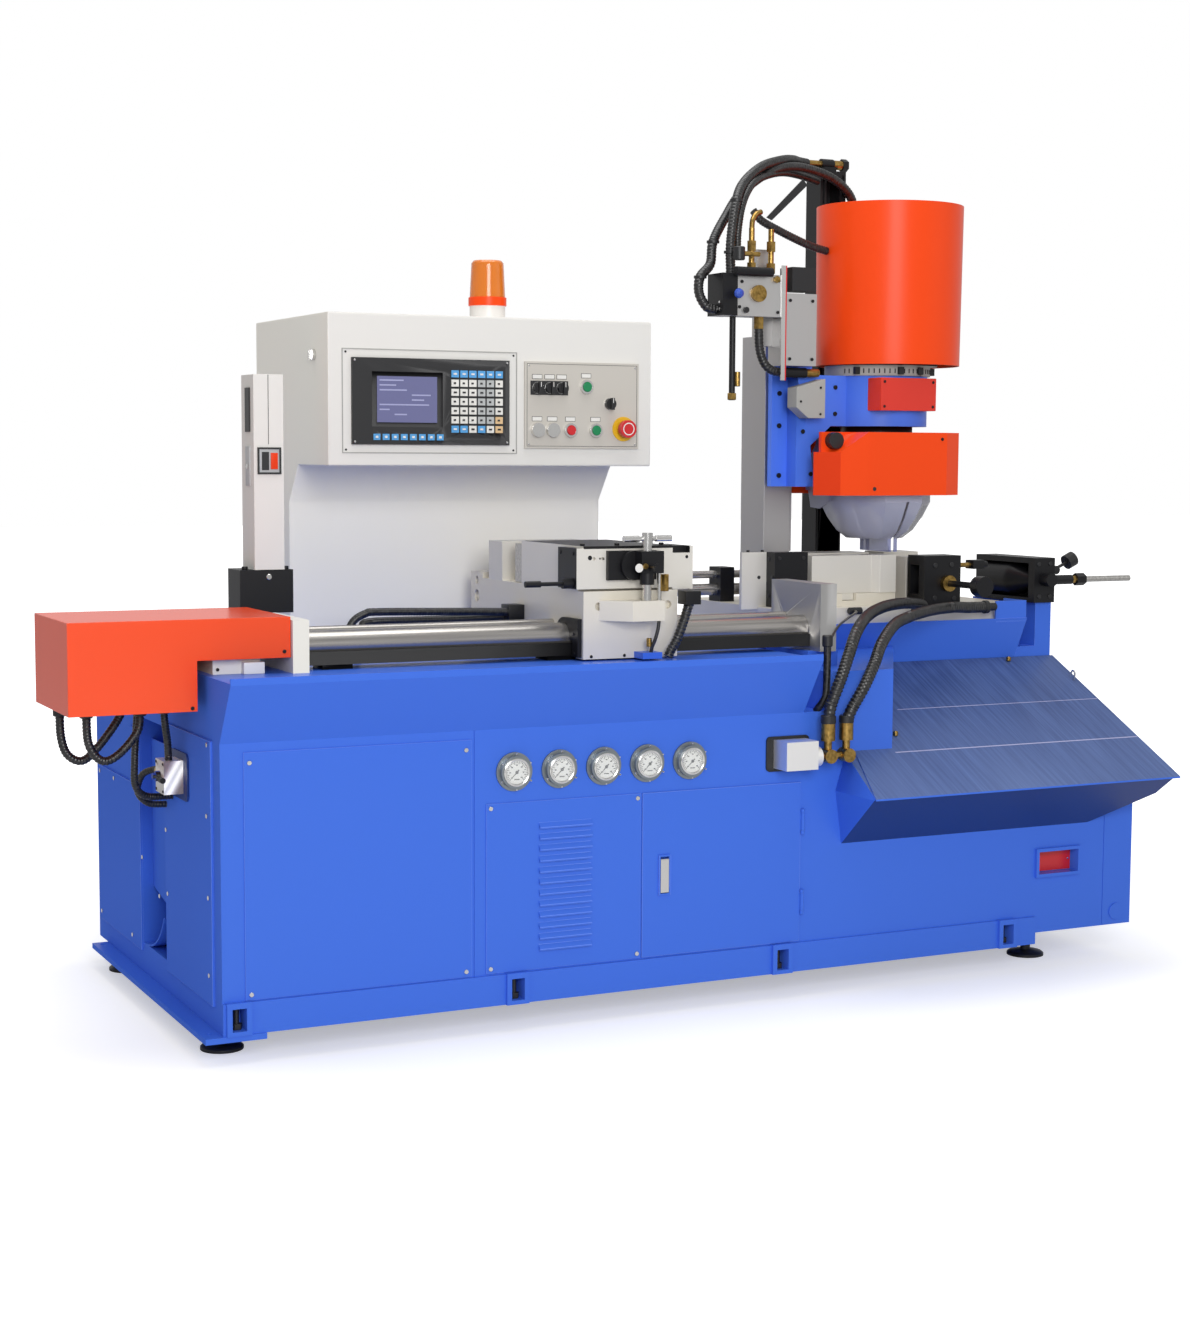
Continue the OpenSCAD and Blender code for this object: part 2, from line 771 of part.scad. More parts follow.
// A hole through the carriage that leaves room for the cradle under the guide shaft
module cradle_channel(x0, x1) {
    block(x0, x1, shaft_y - 42, shaft_y + 42, tray_z - 1, shaft_z - 5);
}

module feed_carriage() {
    bottom = tray_z + 4;
    bump_x = [carriage_x + 37, carriage_x + 92, carriage_right - 60];
    bump_y = row_y - 56;
    hole_z = carriage_z - 33;
    bridge_z = carriage_z - 80;
    rear_z = 846;
    color(cream) difference() {
        union() {
            block(carriage_x, carriage_right, row_y, screw_y + 45, bottom, carriage_z);
            block(carriage_x, carriage_right, row_y, bar_y + 35, bridge_z, carriage_z);
            block(carriage_x, carriage_right, bar_y - 35, bar_y + 35, rear_z, bar_zs[0] + 20);
            // housing on the front, with a slanted left flank
            along_z(carriage_z - 64, carriage_z - 20) polygon([
                [bump_x[0], row_y], [bump_x[1], bump_y], [bump_x[2], bump_y],
                [bump_x[2] + 20, row_y]
            ]);
        }
        rod_x(carriage_x - 1, carriage_right + 1, shaft_y, shaft_z, shaft_d + 2 * fit);
        rod_x(carriage_x - 1, carriage_right + 1, screw_y, screw_z, screw_d + 2 * fit);
        for (i = [0, 1])
            rod_x(carriage_x - 1, carriage_right + 1, bar_y, bar_zs[i], bar_ds[i]);
        cradle_channel(carriage_x - 1, carriage_right + 1);
        for (x = [carriage_x + 37, carriage_right - 24]) rod_y(row_y - 1, row_y + 12, x, hole_z, 18);
    }
    // wiper plates round the shaft
    color(black) difference() {
        union() {
            along_x(carriage_x - 10, carriage_x) {
                translate([shaft_y, shaft_z]) circle(42);
                translate([shaft_y - 72, shaft_z - 42]) square([72, 84]);
            }
            block(carriage_right, carriage_right + 8, shaft_y - 40, shaft_y + 40, shaft_z - 36, shaft_z + 40);
        }
        rod_x(carriage_x - 11, carriage_right + 9, shaft_y, shaft_z, shaft_d + 1);
        cradle_channel(carriage_x - 11, carriage_right + 9);
    }
    // manifold at the foot of the carriage
    color(blue) block(carriage_x + 124, carriage_x + 172, row_y - 42, row_y, bottom, tray_z + 18);
}

module guide_bars() {
    color(steel) for (i = [0, 1])
        rod_x(carriage_x + 5, carriage_x + 1085, bar_y, bar_zs[i], bar_ds[i]);
}

module feed_vise() {
    right = carriage_right - 13;
    color(steel) {
        difference() {
            block(carriage_x, right, row_y, jaw_front - 54, carriage_z, vise_top);
            block(carriage_x - 1, right + 1, row_y - 1, row_y + 30, carriage_z - 1, vise_z);
            // slide way of the moving jaw and bore of its cylinder
            rod_y(row_y - 1, jaw_front, carriage_x + 113, vise_z + 51, 52);
            for (x = [carriage_x + 25, carriage_x + 46]) rod_y(row_y - 1, row_y + 8, x, vise_top - 21, 7);
        }
        // rear jaw
        block(carriage_x, right, jaw_back, jaw_back + 80, carriage_z, vise_top);
    }
    color(black) {
        // plate on the left, cap rail on top and bracket on the right
        block(carriage_x - 17, carriage_x, row_y, row_y + 95, vise_z, vise_top + 2);
        block(carriage_x, right, row_y + 2, jaw_front - 54, vise_top, vise_top + 6);
        block(right + 43, right + 51, row_y, row_y + 120, vise_z - 5, vise_top + 4);
        block(right, right + 51, row_y + 20, row_y + 120, vise_z + 72, vise_top + 4);
    }
    // plate on the right
    color(steel) block(right, right + 43, row_y, row_y + 90, vise_z - 4, vise_z + 76);
}

module feed_jaw() {
    color(steel) {
        block(carriage_x + 8, carriage_right - 21, jaw_front - 40, jaw_front, carriage_z + 1, vise_top - 2);
        rod_y(row_y + 20, jaw_front - 40, carriage_x + 113, vise_z + 51, 30);
        rod_y(row_y + 20, row_y + 60, carriage_x + 113, vise_z + 51, 52 - 2 * fit);
    }
}

module feed_cylinder() {
    x = carriage_x + 113;
    z = vise_z + 51;
    color(black) difference() {
        union() {
            block(x - 59, x + 59, row_y - 12, row_y, vise_z + 19, vise_top - 4);
            rod_y(row_y - 24, row_y - 12, x, z, 64);
            block(clamp_x - 15, clamp_x + 39, row_y - 56, row_y - 24, vise_z + 35, vise_top - 4);
            rod_z(vise_z + 10, vise_z + 35, clamp_x + 6, row_y - 40, 32);
        }
        rod_z(vise_z, vise_top, clamp_x + 6, row_y - 40, 20 + 2 * fit);
    }
    color("goldenrod") rod_y(row_y - 62, row_y - 56, clamp_x - 8, z, 12);
    color(black) {
        rod_y(row_y - 84, row_y - 56, clamp_x + 6, z - 3, 12);
        rod_y(row_y - 96, row_y - 84, clamp_x + 6, z - 3, 20);
    }
}

module clamp_screw() {
    x = clamp_x + 6;
    y = row_y - 40;
    top = vise_top + 36;
    bar_z = vise_top + 23;
    color(steel) {
        rod_z(carriage_z - 19.7, top - 14, x, y, 20);
        rod_z(vise_top + 8, top, x, y, 24);
        rod_x(x - 46, x + 46, y, bar_z, 10);
    }
    color(black) for (x0 = [x - 58, x + 20]) rod_x(x0, x0 + 38, y, bar_z, 14);
}

module clamp_lever() {
    x = carriage_x - 17;
    y = row_y + 22;
    z = vise_z + 12;
    color(black) {
        rod_x(x - 24, x - 0.3, y, z, 22);
        rod_x(x - 112, x - 76, y, z, 14);
    }
    color(steel) rod_x(x - 76, x - 24, y, z, 9);
}

supply_1 = [[405, 392, 780.2], [409, 392, 824], [423, 392, 856], [452, 392, 873], [484, 392, 876],
    [655, 392, 872], [798, 392, 868]];
supply_2 = [[435, 414, 780.2], [439, 414, 818], [451, 414, 842], [478, 414, 853], [655, 414, 853],
    [798, 414, 855]];
vise_conduit = [[1085, 46, 906], [1079, 46, 892], [1068, 46, 860], [1052, 46, 822], [1038, 46, 800],
    [1031, 46, 786]];
clamp_hose = [[998, 28, 867.8], [996, 28, 850], [990, 30, 826], [985, 34, 811], [983, 36, 798.2]];

module carriage_hoses() {
    color(black) {
        hose(supply_1, 18, [0, 1, 0]);
        hose(supply_2, 18, [0, 1, 0]);
        block(796, carriage_x, 380, 426, 844, 884);
        hose(vise_conduit, 22, [0, 1, 0]);
        hose(clamp_hose, 8, [0, 1, 0], 6);
        block(1066, 1104, 30, 69.5, 900, 930);
    }
}

// ---------------------------------------------------------------- main vise

bed_x = [column_x - 63, table_right - 14];
infeed_x = [column_right - 7, blade_x - 9];
outfeed_x = [blade_x + 33, blade_x + 141];
way_top = bed_z + 30;
way_slot = [infeed_x[0] + 83, infeed_x[0] + 124];
guide_x = [column_x - 109, column_x - 17];
ram_d = 56;
ram_z = bed_z + 63;
knob_x = outfeed_x[1] - 41;
knob_z = bed_z + 54;
press_x = [base_len - 69, base_len - 5];
stalk_x = press_x[1] + 12;
stalk_z = bed_z + 80;

module bed_plate() {
    color(cream) {
        difference() {
            union() {
                block(bed_x[0], bed_x[1], table_y + 5, 800, table_floor, bed_z);
                block(infeed_x[0] - 12, infeed_x[1] + 3, 390, jaw_back + 90, bed_z, way_top);
            }
            // room for the column and slide way of the jaw
            block(column_x, column_right + 3, column_y - 3, jaw_back + 91, bed_z, way_top + 1);
            block(way_slot[0], way_slot[1], 380, jaw_back, way_top - 18, way_top + 1);
        }
    }
    // bushing block of the guide bars
    color(black) difference() {
        block(bed_x[0] + 4, bed_x[0] + 44, bar_y - 30, bar_y + 30, bed_z, bed_z + 87);
        for (i = [0, 1])
            rod_x(bed_x[0], bed_x[0] + 50, bar_y, bar_zs[i], bar_ds[i] + 2 * fit);
    }
}

module fixed_jaws() {
    color(steel) {
        // rear jaws
        block(infeed_x[0] + 13, infeed_x[1], jaw_back, jaw_back + 88, way_top, jaw_top);
        block(outfeed_x[0] + 2, outfeed_x[1], jaw_back, jaw_back + 88, bed_z, jaw_top);
        // guide plate on the infeed side
        block(guide_x[0], guide_x[1], jaw_front - 16, jaw_front - 4, bed_z, jaw_top + 9);
        block(guide_x[0], bed_x[0], jaw_front - 16, jaw_front - 4, bed_z - 6, bed_z);
    }
    // guide block in front of it
    color(black) block(guide_x[1] - 23, infeed_x[0] - 14, jaw_front - 56, jaw_front - 16, bed_z, jaw_top + 9);
}

module infeed_jaw() {
    front = jaw_front - 52;
    color(steel) {
        along_z(way_top + 0.3, jaw_top - 1) polygon([
            [infeed_x[0], front], [infeed_x[1] - 63, front], [infeed_x[1] - 47, front - 16],
            [infeed_x[1], front - 16], [infeed_x[1], jaw_front], [infeed_x[0], jaw_front]
        ]);
        block(way_slot[0] + 1, way_slot[1] - 1, front + 2, jaw_front - 4, way_top - 17, way_top + 0.3);
    }
}

module outfeed_jaw() {
    color(steel) {
        block(outfeed_x[0] + 2, outfeed_x[1] - 2, jaw_front - 46, jaw_front, bed_z + 0.5, jaw_top - 8);
        rod_y(table_y + 20, jaw_front - 46, (outfeed_x[0] + outfeed_x[1]) / 2, ram_z, ram_d);
    }
}

module clamp_blocks() {
    front = table_y - 10;
    back = jaw_front - 58;
    mid_x = (outfeed_x[0] + outfeed_x[1]) / 2;
    color(black) {
        // clamp beside the blade, with a window that shows its ram
        difference() {
            block(outfeed_x[0], outfeed_x[1], front, back, bed_z + 1, jaw_top - 2);
            rod_y(front + 12, back + 1, mid_x, ram_z, ram_d + 2 * fit);
            block(outfeed_x[0] - 1, mid_x, front + 25, back - 12, ram_z - 36, ram_z + 36);
            rod_y(front - 1, front + 13, knob_x, knob_z, 16 + 2 * fit);
        }
        // feet of that clamp on the bed plate
        block(outfeed_x[0] + 6, outfeed_x[1] - 6, table_y + 6, back, bed_z, bed_z + 1);
        // clamp at the end of the machine: open frame with a cylinder in it
        difference() {
            block(press_x[0], press_x[1], front, 570, bed_z - 2, bed_z + 112);
            block(press_x[0] - 1, press_x[1] - 12, front + 25, 545, bed_z + 10, bed_z + 98);
        }
        rod_y(front + 110, 545, press_x[0] + 24, bed_z + 54, 84);
        translate([press_x[0] + 24, front + 110, bed_z + 54]) rotate([90, 0, 0])
            cylinder(d1 = 84, d2 = 34, h = 85);
        // elbow and nut of the push rod
        rod_y(front - 33, front, press_x[0] + 31, bed_z + 57, 34);
        rod_x(press_x[0] + 31, press_x[1] + 36, front - 20, bed_z + 57, 24);
        rod_x(press_x[1] + 48, press_x[1] + 76, front - 20, bed_z + 57, 32, 6);
    }
    color("goldenrod") {
        rod_x(press_x[1] + 36, press_x[1] + 48, front - 20, bed_z + 57, 20);
        rod_x(outfeed_x[1], outfeed_x[1] + 60, front + 14, bed_z + 98, 12);
    }
    color(steel) rod_x(press_x[1] + 76, base_len + 218, front - 20, bed_z + 57, 15);
}

module clamp_knob() {
    front = table_y - 10;
    color(black) {
        rod_y(front - 130, front + 12, knob_x, knob_z, 16);
        rod_y(front - 160, front - 130, knob_x, knob_z, 50, 24);
    }
    color("goldenrod") rod_y(front - 14, front - 0.5, knob_x, knob_z, 40);
}

module stalk_knob() {
    y = table_y + 10;
    color(black) {
        rod_y(y - 12, y + 12, stalk_x, stalk_z, 22);
        translate([stalk_x, y, stalk_z]) rotate([0, 65, 0]) cylinder(d = 8, h = 45);
        translate([stalk_x + 38, y, stalk_z + 18]) rotate([0, 65, 0]) cylinder(d = 38, h = 26);
    }
}

// ---------------------------------------------------------------- columns and saw head

module column() {
    color(steel) {
        block(column_x, column_right, column_y, column_y + column_t, bed_z, column_top);
        // guide rails of the saddle, on the side towards the blade
        for (y = rail_ys)
            block(column_right, column_right + rail_h, y - rail_w / 2, y + rail_w / 2,
                blade_z - head_stroke - 22, column_top - 4);
    }
    color(black) block(column_x, column_right, column_y, column_y + column_t, column_top, column_top + 24);
}

module mast() {
    x = mast_x + mast_w / 2;
    y = mast_y + 35;
    z = mast_top + 20;
    color(black) {
        difference() {
            block(mast_x, mast_x + mast_w, mast_y, mast_y + mast_t, bed_z, mast_top);
            block(x - mast_slot / 2, x + mast_slot / 2, mast_y - 1, mast_y + 50,
                gear_z - head_stroke - 10, mast_top - 20);
            // grooves of the extrusion
            for (dx = [-32, 26])
                block(x + dx, x + dx + 6, mast_y - 1, mast_y + 6, bed_z + 1, mast_top - 10);
        }
        // coupling on top, with its seat
        block(mast_x + 20, mast_x + mast_w - 20, y - 20, y + 20, mast_top, mast_top + 12);
        rod_x(mast_x + 20, mast_x + 56, y, z, 28);
        rod_x(mast_x + 82, mast_x + 98, y, z, 34, 6);
    }
    color("goldenrod") {
        rod_x(mast_x - 22, mast_x + 20, y, z, 18);
        rod_x(mast_x + 56, mast_x + 82, y, z, 24);
    }
}

module saw_arm() {
    plate_x = [column_x - 3, cheek_x + 14];
    plate_z = [blade_z + 1, blade_z + 346];
    runner_gap = 0.3;
    web_x = [column_x + 41, column_x + 107];
    housing_x = [blade_x + 10, blade_x + 50];
    slider_x = mast_x + mast_w / 2;
    color(blue) {
        difference() {
            union() {
                // saddle plate
                block(plate_x[0], plate_x[1], saddle_y - 18, saddle_y, plate_z[0], plate_z[1]);
                // web under the arm
                along_y(saddle_y - 62, saddle_y - 18) polygon([
                    [web_x[0], plate_z[0]], [web_x[0] + 52, plate_z[0]], [web_x[1] - 14, plate_z[0] + 20],
                    [web_x[1] - 26, plate_z[0] + 100], [web_x[1] + 34, gear_z + 1], [web_x[0], gear_z + 1]
                ]);
                // arm and gearbox
                block(web_x[0], head_x, saddle_y - 62, saddle_y + 56, gear_z, gear_z + gear_h);
                rod_z(gear_z, gear_z + gear_h, head_x, head_y, gear_d);
            }
            block(column_x - 1, cheek_x, saddle_y, column_y + column_t, gear_z - 1, gear_z + gear_h + 1);
        }
        // cheek of the saddle with its runner blocks
        block(cheek_x, plate_x[1], saddle_y, column_y + column_t, plate_z[0], plate_z[1]);
        for (y = rail_ys, z = [plate_z[0] + 20, plate_z[1] - 100])
            difference() {
                block(column_right + 1, cheek_x, y - 18, y + 18, z, z + 80);
                block(column_right, column_right + rail_h + runner_gap,
                    y - rail_w / 2 - runner_gap, y + rail_w / 2 + runner_gap, z - 1, z + 81);
            }
    }
    color(black) {
        // collar above the guard, leg and housing of the arbor
        rod_z(guard_z + guard_h, gear_z, head_x, head_y, 180);
        difference() {
            block(housing_x[0], housing_x[1], head_y - 24, head_y + 24, blade_z, guard_z + guard_h);
            rod_x(housing_x[0] - 1, housing_x[1] + 1, head_y, blade_z, housing_d - 4);
        }
        difference() {
            rod_x(housing_x[0], housing_x[1], head_y, blade_z, housing_d);
            rod_x(housing_x[0] - 1, housing_x[1] + 1, head_y, blade_z, arbor_d + 2 * fit);
        }
        // elbow of the oil line
        rod_x(column_x - 16, column_x + 53, 420, oil_z, 24);
    }
    color("goldenrod") {
        rod_x(column_x + 53, column_x + 89, 420, oil_z, 20);
        rod_y(420, saddle_y - 62, column_x + 78, oil_z, 20);
    }
    // slider in the mast
    color(steel) block(slider_x - mast_slot / 2 + 2, slider_x + mast_slot / 2 - 2,
        head_y + 110, mast_y + 47, gear_z + 30, gear_z + 90);
}

module saw_motor() {
    core_d = 250;
    core_h = 280;
    color(steel) rod_z(gear_z + gear_h, motor_z - 1, head_x, head_y, gear_d + 14);
    color(black) {
        rod_z(motor_z - 1, motor_z + core_h, motor_x, head_y, core_d);
        rod_z(motor_z + core_h, motor_z + motor_h - sheet, motor_x, head_y, 60);
    }
}

module motor_cover() {
    foot_r = (motor_d - motor_taper) / 2;
    top_r = motor_d / 2;
    color(orange) translate([motor_x, head_y, motor_z]) rotate_extrude($fn = 96) polygon([
        [foot_r - sheet, 0], [foot_r, 0], [top_r, motor_h], [0, motor_h], [0, motor_h - sheet],
        [top_r - sheet, motor_h - sheet]
    ]);
}

module head_boxes() {
    red_x = [head_x - 86, head_x + 76];
    grey_x = [column_x + 14, column_x + 96];
    color("crimson") difference() {
        block(red_x[0], red_x[1], head_y - 150, head_y - 90, gear_z + 38, gear_z + 118);
        rod_z(gear_z, gear_z + gear_h, head_x, head_y, gear_d);
    }
    color(cream) along_y(saddle_y - 106, saddle_y - 62) polygon([
        [grey_x[0], gear_z + 44], [grey_x[0] + 34, gear_z + 18], [grey_x[1], gear_z + 18],
        [grey_x[1], gear_z + 114], [grey_x[0], gear_z + 92]
    ]);
}

valve_x = [column_x - 152, column_x - 26];
valve_z = [gear_z + 259, gear_z + 359];

module manifold() {
    front = head_y - 80;
    back = saddle_y - 38;
    color(steel) {
        block(valve_x[0], valve_x[1], front, back, valve_z[0], valve_z[1]);
        // box that carries the valve block, and the upright between them
        block(column_x - 16, column_x + 71, front, saddle_y - 18, gear_z + 144, gear_z + 317);
        block(valve_x[1] - 36, column_x - 16, back, saddle_y - 18, gear_z + 192, gear_z + 424);
    }
    color(black) {
        block(valve_x[0] - 41, valve_x[0], front - 4, back + 8, valve_z[0], valve_z[1]);
        // fittings on top, left and underneath
        rod_x(valve_x[0] - 12, valve_x[0] + 88, front - 14, valve_z[1] + 4, 22);
        rod_z(valve_z[0] - 200, valve_z[0], valve_x[0] + 6, front + 30, 15);
    }
    color("goldenrod") {
        for (x = [valve_x[0] + 62, valve_x[0] + 116]) {
            rod_z(valve_z[1], valve_z[1] + 112, x, front + 40, 14);
            for (z = [valve_z[1] + 6, valve_z[1] + 58]) rod_z(z, z + 24, x, front + 40, 24, 6);
        }
        rod_y(front - 8, front, valve_x[0] + 58, valve_z[1] - 46, 40);
        rod_z(valve_z[0] - 28, valve_z[0], valve_x[0] + 76, front + 26, 26, 6);
    }
}

hose_a = [[1355.8, 430, 1574], [1332, 432, 1580], [1315, 438, 1612], [1322, 446, 1650],
    [1360, 466, 1684], [1376, 482, 1738], [1424, 510, 1800], [1490, 545, 1868],
    [1596, 585, 1930], [1690, 622, 1950], [1785, 643, 1940], [1840, 650, 1918], [1880, 662, 1888],
    [1896, 676, 1856], [1898, 681, 1800]];
hose_b = [[1402, 440, 1659.5], [1404, 445, 1735], [1430, 465, 1838], [1478, 510, 1890],
    [1555, 560, 1936], [1640, 610, 1962], [1705, 662, 1973], [1745, 702, 1976], [1778, 715, 1975]];
hose_d = [[1473, 426, 1530.5], [1475, 424, 1484], [1486, 421, 1450], [1506, 420, 1433],
    [1532.8, 420, 1428]];

module head_hoses() {
    color(black) {
        hose(hose_a, 24, [1, -1, 0.2]);
        hose(hose_b, 24, [1, -1, 0.2]);
        hose(hose_d, 22, [0, 1, 0]);
    }
}

// ---------------------------------------------------------------- blade, guard and hood

// Outline of the blade guard from above, moved in by a distance
guard_front = head_y - 165;
guard_back = head_y + 145;
guard_left = [head_x - 245, head_x - 178];
guard_step_y = guard_front + 66;

module guard_outline(inset) {
    right = head_x + 154 - inset;
    front = guard_front + inset;
    back = guard_back - inset;
    polygon([
        [head_x - 129, front], [head_x + 101, front], [right, front + 26], [right, back],
        [guard_left[1] + inset, back], [guard_left[1] + inset, guard_step_y - inset],
        [guard_left[0] + inset, guard_step_y - inset], [guard_left[0] + inset, front + 63 - 2 * inset],
        [head_x - 202, front + 10]
    ]);
}

// What the upper left corner of the guard lacks
module guard_corner(inset) {
    low = guard_z + 105 - inset;
    top = guard_z + guard_h;
    along_y(guard_front - 1, guard_front + 55 + inset) polygon([
        [guard_left[0] - 5, low], [head_x - 203 + inset, low], [head_x - 129 + inset, top - inset],
        [head_x - 129 + inset, top + 5], [guard_left[0] - 5, top + 5]
    ]);
    block(guard_left[0] - 5, guard_left[0] + 15 + inset, guard_front - 1, guard_back + 1, low, top + 5);
}

knob_pos = [head_x - 200, guard_front + 55, guard_z + 133];

module blade_guard() {
    color(orange) difference() {
        difference() {
            along_z(guard_z, guard_z + guard_h) guard_outline(0);
            guard_corner(0);
        }
        difference() {
            along_z(guard_z - 1, guard_z + guard_h - sheet) guard_outline(sheet);
            guard_corner(sheet);
        }
        // the guard is open towards the column
        block(guard_left[0] + 15 + sheet, guard_left[1] + sheet + 1, guard_front + 60, guard_back - sheet - 1,
            guard_z - 1, guard_z + guard_h - sheet);
        // opening for the arbor's leg
        block(blade_x + 9, blade_x + 51, head_y - 25, head_y + 25, guard_z, guard_z + guard_h + 1);
        rod_y(knob_pos[1] - 1, knob_pos[1] + 10, knob_pos[0], knob_pos[2], 10 + 2 * fit);
    }
    // smoky shield on that side, under the guard's top
    color("slategray", 0.6) along_x(shield_x, shield_x + 5) polygon([
        [head_y - 40, guard_z + 9], [head_y + 104, guard_z + 9], [head_y + 106, guard_z + 41],
        [head_y + 92, guard_z + 88], [head_y + 58, guard_z + 126], [head_y + 58, guard_z + guard_h - sheet],
        [head_y - 40, guard_z + guard_h - sheet]
    ]);
}

module guard_knob() {
    color(black) {
        rod_y(knob_pos[1] - 24, knob_pos[1] - 0.3, knob_pos[0], knob_pos[2], 40, 32);
        rod_y(knob_pos[1] - 0.3, knob_pos[1] + 10, knob_pos[0], knob_pos[2], 10);
    }
}

module hood() {
    in = hood_lip - hood_wall;
    wing_x = head_x - hood_r * cos(22.5) + 1;
    color("slategray", 0.6) difference() {
        union() {
            translate([head_x, head_y, hood_z]) rotate([0, 0, 22.5]) rotate_extrude($fn = 8) polygon([
                [in, 0], [hood_lip, 0], [98, 20], [122, 54], [hood_r, 91], [hood_r, hood_h],
                [hood_r - hood_wall, hood_h], [hood_r - hood_wall, 93], [118, 56], [94, 22], [in, hood_wall]
            ]);
            // wing beside the guard's shield
            along_x(wing_x - 4.5, wing_x) polygon([
                [head_y, hood_z + 94], [head_y + 50, hood_z + 73], [head_y + 92, hood_z + 76],
                [head_y + 104, hood_z + hood_h], [head_y, hood_z + hood_h]
            ]);
            // nozzle over the cut, open towards the outfeed
            difference() {
                block(blade_x - 14, blade_x + 14, head_y - 64, head_y + 64, hood_z - nozzle_h, hood_z + 3);
                block(blade_x - 12, blade_x + 15, head_y - 62, head_y + 62, hood_z - nozzle_h - 1, hood_z + 4);
            }
        }
        // slot for the blade
        block(blade_x - 4, blade_x + 4, head_y - hood_r, head_y + hood_r, hood_z - nozzle_h - 1,
            hood_z + 93);
    }
}

module saw_blade() {
    teeth = 80;
    r = blade_d / 2;
    depth = 4;
    color(steel) {
        difference() {
            along_x(blade_x - blade_t / 2, blade_x + blade_t / 2)
                translate([head_y, blade_z]) polygon([
                    for (i = [0 : teeth - 1], k = [0, 1])
                        let (a = 360 * (i + 0.6 * k) / teeth, q = r - depth * k)
                            [q * cos(a), q * sin(a)]
                ]);
            for (a = [45 : 90 : 315])
                rod_x(blade_x - 5, blade_x + 5, head_y + 48 * cos(a), blade_z + 48 * sin(a), 11);
        }
        rod_x(blade_x - 11, blade_x + 48, head_y, blade_z, arbor_d);
        rod_x(blade_x - 7, blade_x - blade_t / 2, head_y, blade_z, flange_d);
        rod_x(blade_x + blade_t / 2, blade_x + 7, head_y, blade_z, flange_d);
    }
}

// ---------------------------------------------------------------- console

module console() {
    right = console_x + console_w;
    back = base_depth - 2;
    color(cream) {
        along_x(console_x, right) polygon([
            [console_y, console_z], [console_y, console_z + console_h], [back, console_z + console_h],
            [back, tray_z], [cabinet_y, tray_z], [cabinet_y, console_z - 88],
            [console_y + 213, console_z]
        ]);
    }
}

module cnc_unit() {
    x = [console_x + 55, console_x + 441];
    z = [console_z + 48, console_z + 243];
    color(black) difference() {
        block(x[0], x[1], panel_y - 8, panel_y, z[0], z[1]);
        block(x[0] + 47, x[0] + 219, panel_y - 9, panel_y - 5, z[0] + 40, z[1] - 31);
    }
    // keys of the panel
    color(cream) for (i = [0 : 5], k = [0 : 6])
        block(x[0] + 240 + i * 22, x[0] + 258 + i * 22, panel_y - 10, panel_y - 8,
            z[0] + 28 + k * 21, z[0] + 44 + k * 21);
    color("dodgerblue") for (i = [0 : 7])
        block(x[0] + 50 + i * 22, x[0] + 66 + i * 22, panel_y - 10, panel_y - 8, z[0] + 10, z[0] + 24);
}

plate_x = console_x + plate_in;
lamp_xs = [plate_x + 31, plate_x + 70];
button_xs = [plate_x + 158, plate_x + 117, plate_x + 183];
button_zs = [row_high + 2, row_low, row_low];
selector_xs = [plate_x + 31, plate_x + 63, plate_x + 94, plate_x + 219];
selector_zs = [row_high - 2, row_high - 2, row_high - 2, console_z + 147];
stop_x = plate_x + 257;
stop_z = console_z + 88;

module operator_plate() {
    color(steel) difference() {
        union() {
            block(plate_x, plate_x + plate_w, button_y, panel_y, console_z + 41, console_z + 243);
            for (i = [0 : 2]) rod_y(button_y - bezel_h, button_y, button_xs[i], button_zs[i], bezel_d);
            for (i = [0 : 3]) rod_y(button_y - 4, button_y, selector_xs[i], selector_zs[i], 28);
            for (x = lamp_xs) rod_y(button_y - bezel_h - 4, button_y, x, row_low, bezel_d);
            rod_y(button_y - 3, button_y, stop_x, stop_z, 58);
        }
        for (i = [0 : 2])
            rod_y(button_y - bezel_h - 1, panel_y - 1, button_xs[i], button_zs[i], bezel_d - 9);
        for (i = [0 : 3]) rod_y(button_y - 5, panel_y - 1, selector_xs[i], selector_zs[i], 10 + 2 * fit);
        rod_y(button_y - 4, panel_y - 1, stop_x, stop_z, 14 + 2 * fit);
    }
}

module push_cap(i, tone) {
    color(tone) rod_y(button_y - bezel_h - 2, button_y - bezel_h + 6, button_xs[i], button_zs[i], bezel_d - 10);
}

module push_button_1() {
    push_cap(0, "green");
}

module push_button_2() {
    push_cap(1, "red");
}

module push_button_3() {
    push_cap(2, "green");
}

module emergency_stop() {
    color("red") {
        rod_y(button_y - 30, button_y - 14, stop_x, stop_z, 42);
        rod_y(button_y - 14, button_y - 10, stop_x, stop_z, 30);
        rod_y(button_y - 10, panel_y - 1.5 - button_travel, stop_x, stop_z, 14);
    }
}

module selector_knob(i) {
    color(black) {
        rod_y(button_y - 4.3, panel_y - 1.5, selector_xs[i], selector_zs[i], 10);
        rod_y(button_y - 14, button_y - 4.3, selector_xs[i], selector_zs[i], 26);
        block(selector_xs[i] - 4, selector_xs[i] + 4, button_y - 24, button_y - 14,
            selector_zs[i] - 14, selector_zs[i] + 14);
    }
}

module selector_1() {
    selector_knob(0);
}

module selector_2() {
    selector_knob(1);
}

module selector_3() {
    selector_knob(2);
}

module selector_4() {
    selector_knob(3);
}

module key_lock() {
    y = console_y + 90;
    z = console_z + 250;
    color(black) {
        rod_x(console_x - 8, console_x - 0.3, y, z, 26);
        block(console_x - 14, console_x - 8, y - 3, y + 3, z - 11, z + 11);
    }
}

beacon_x = console_x + 440;
beacon_y = console_y + 120;
beacon_z = console_z + console_h;

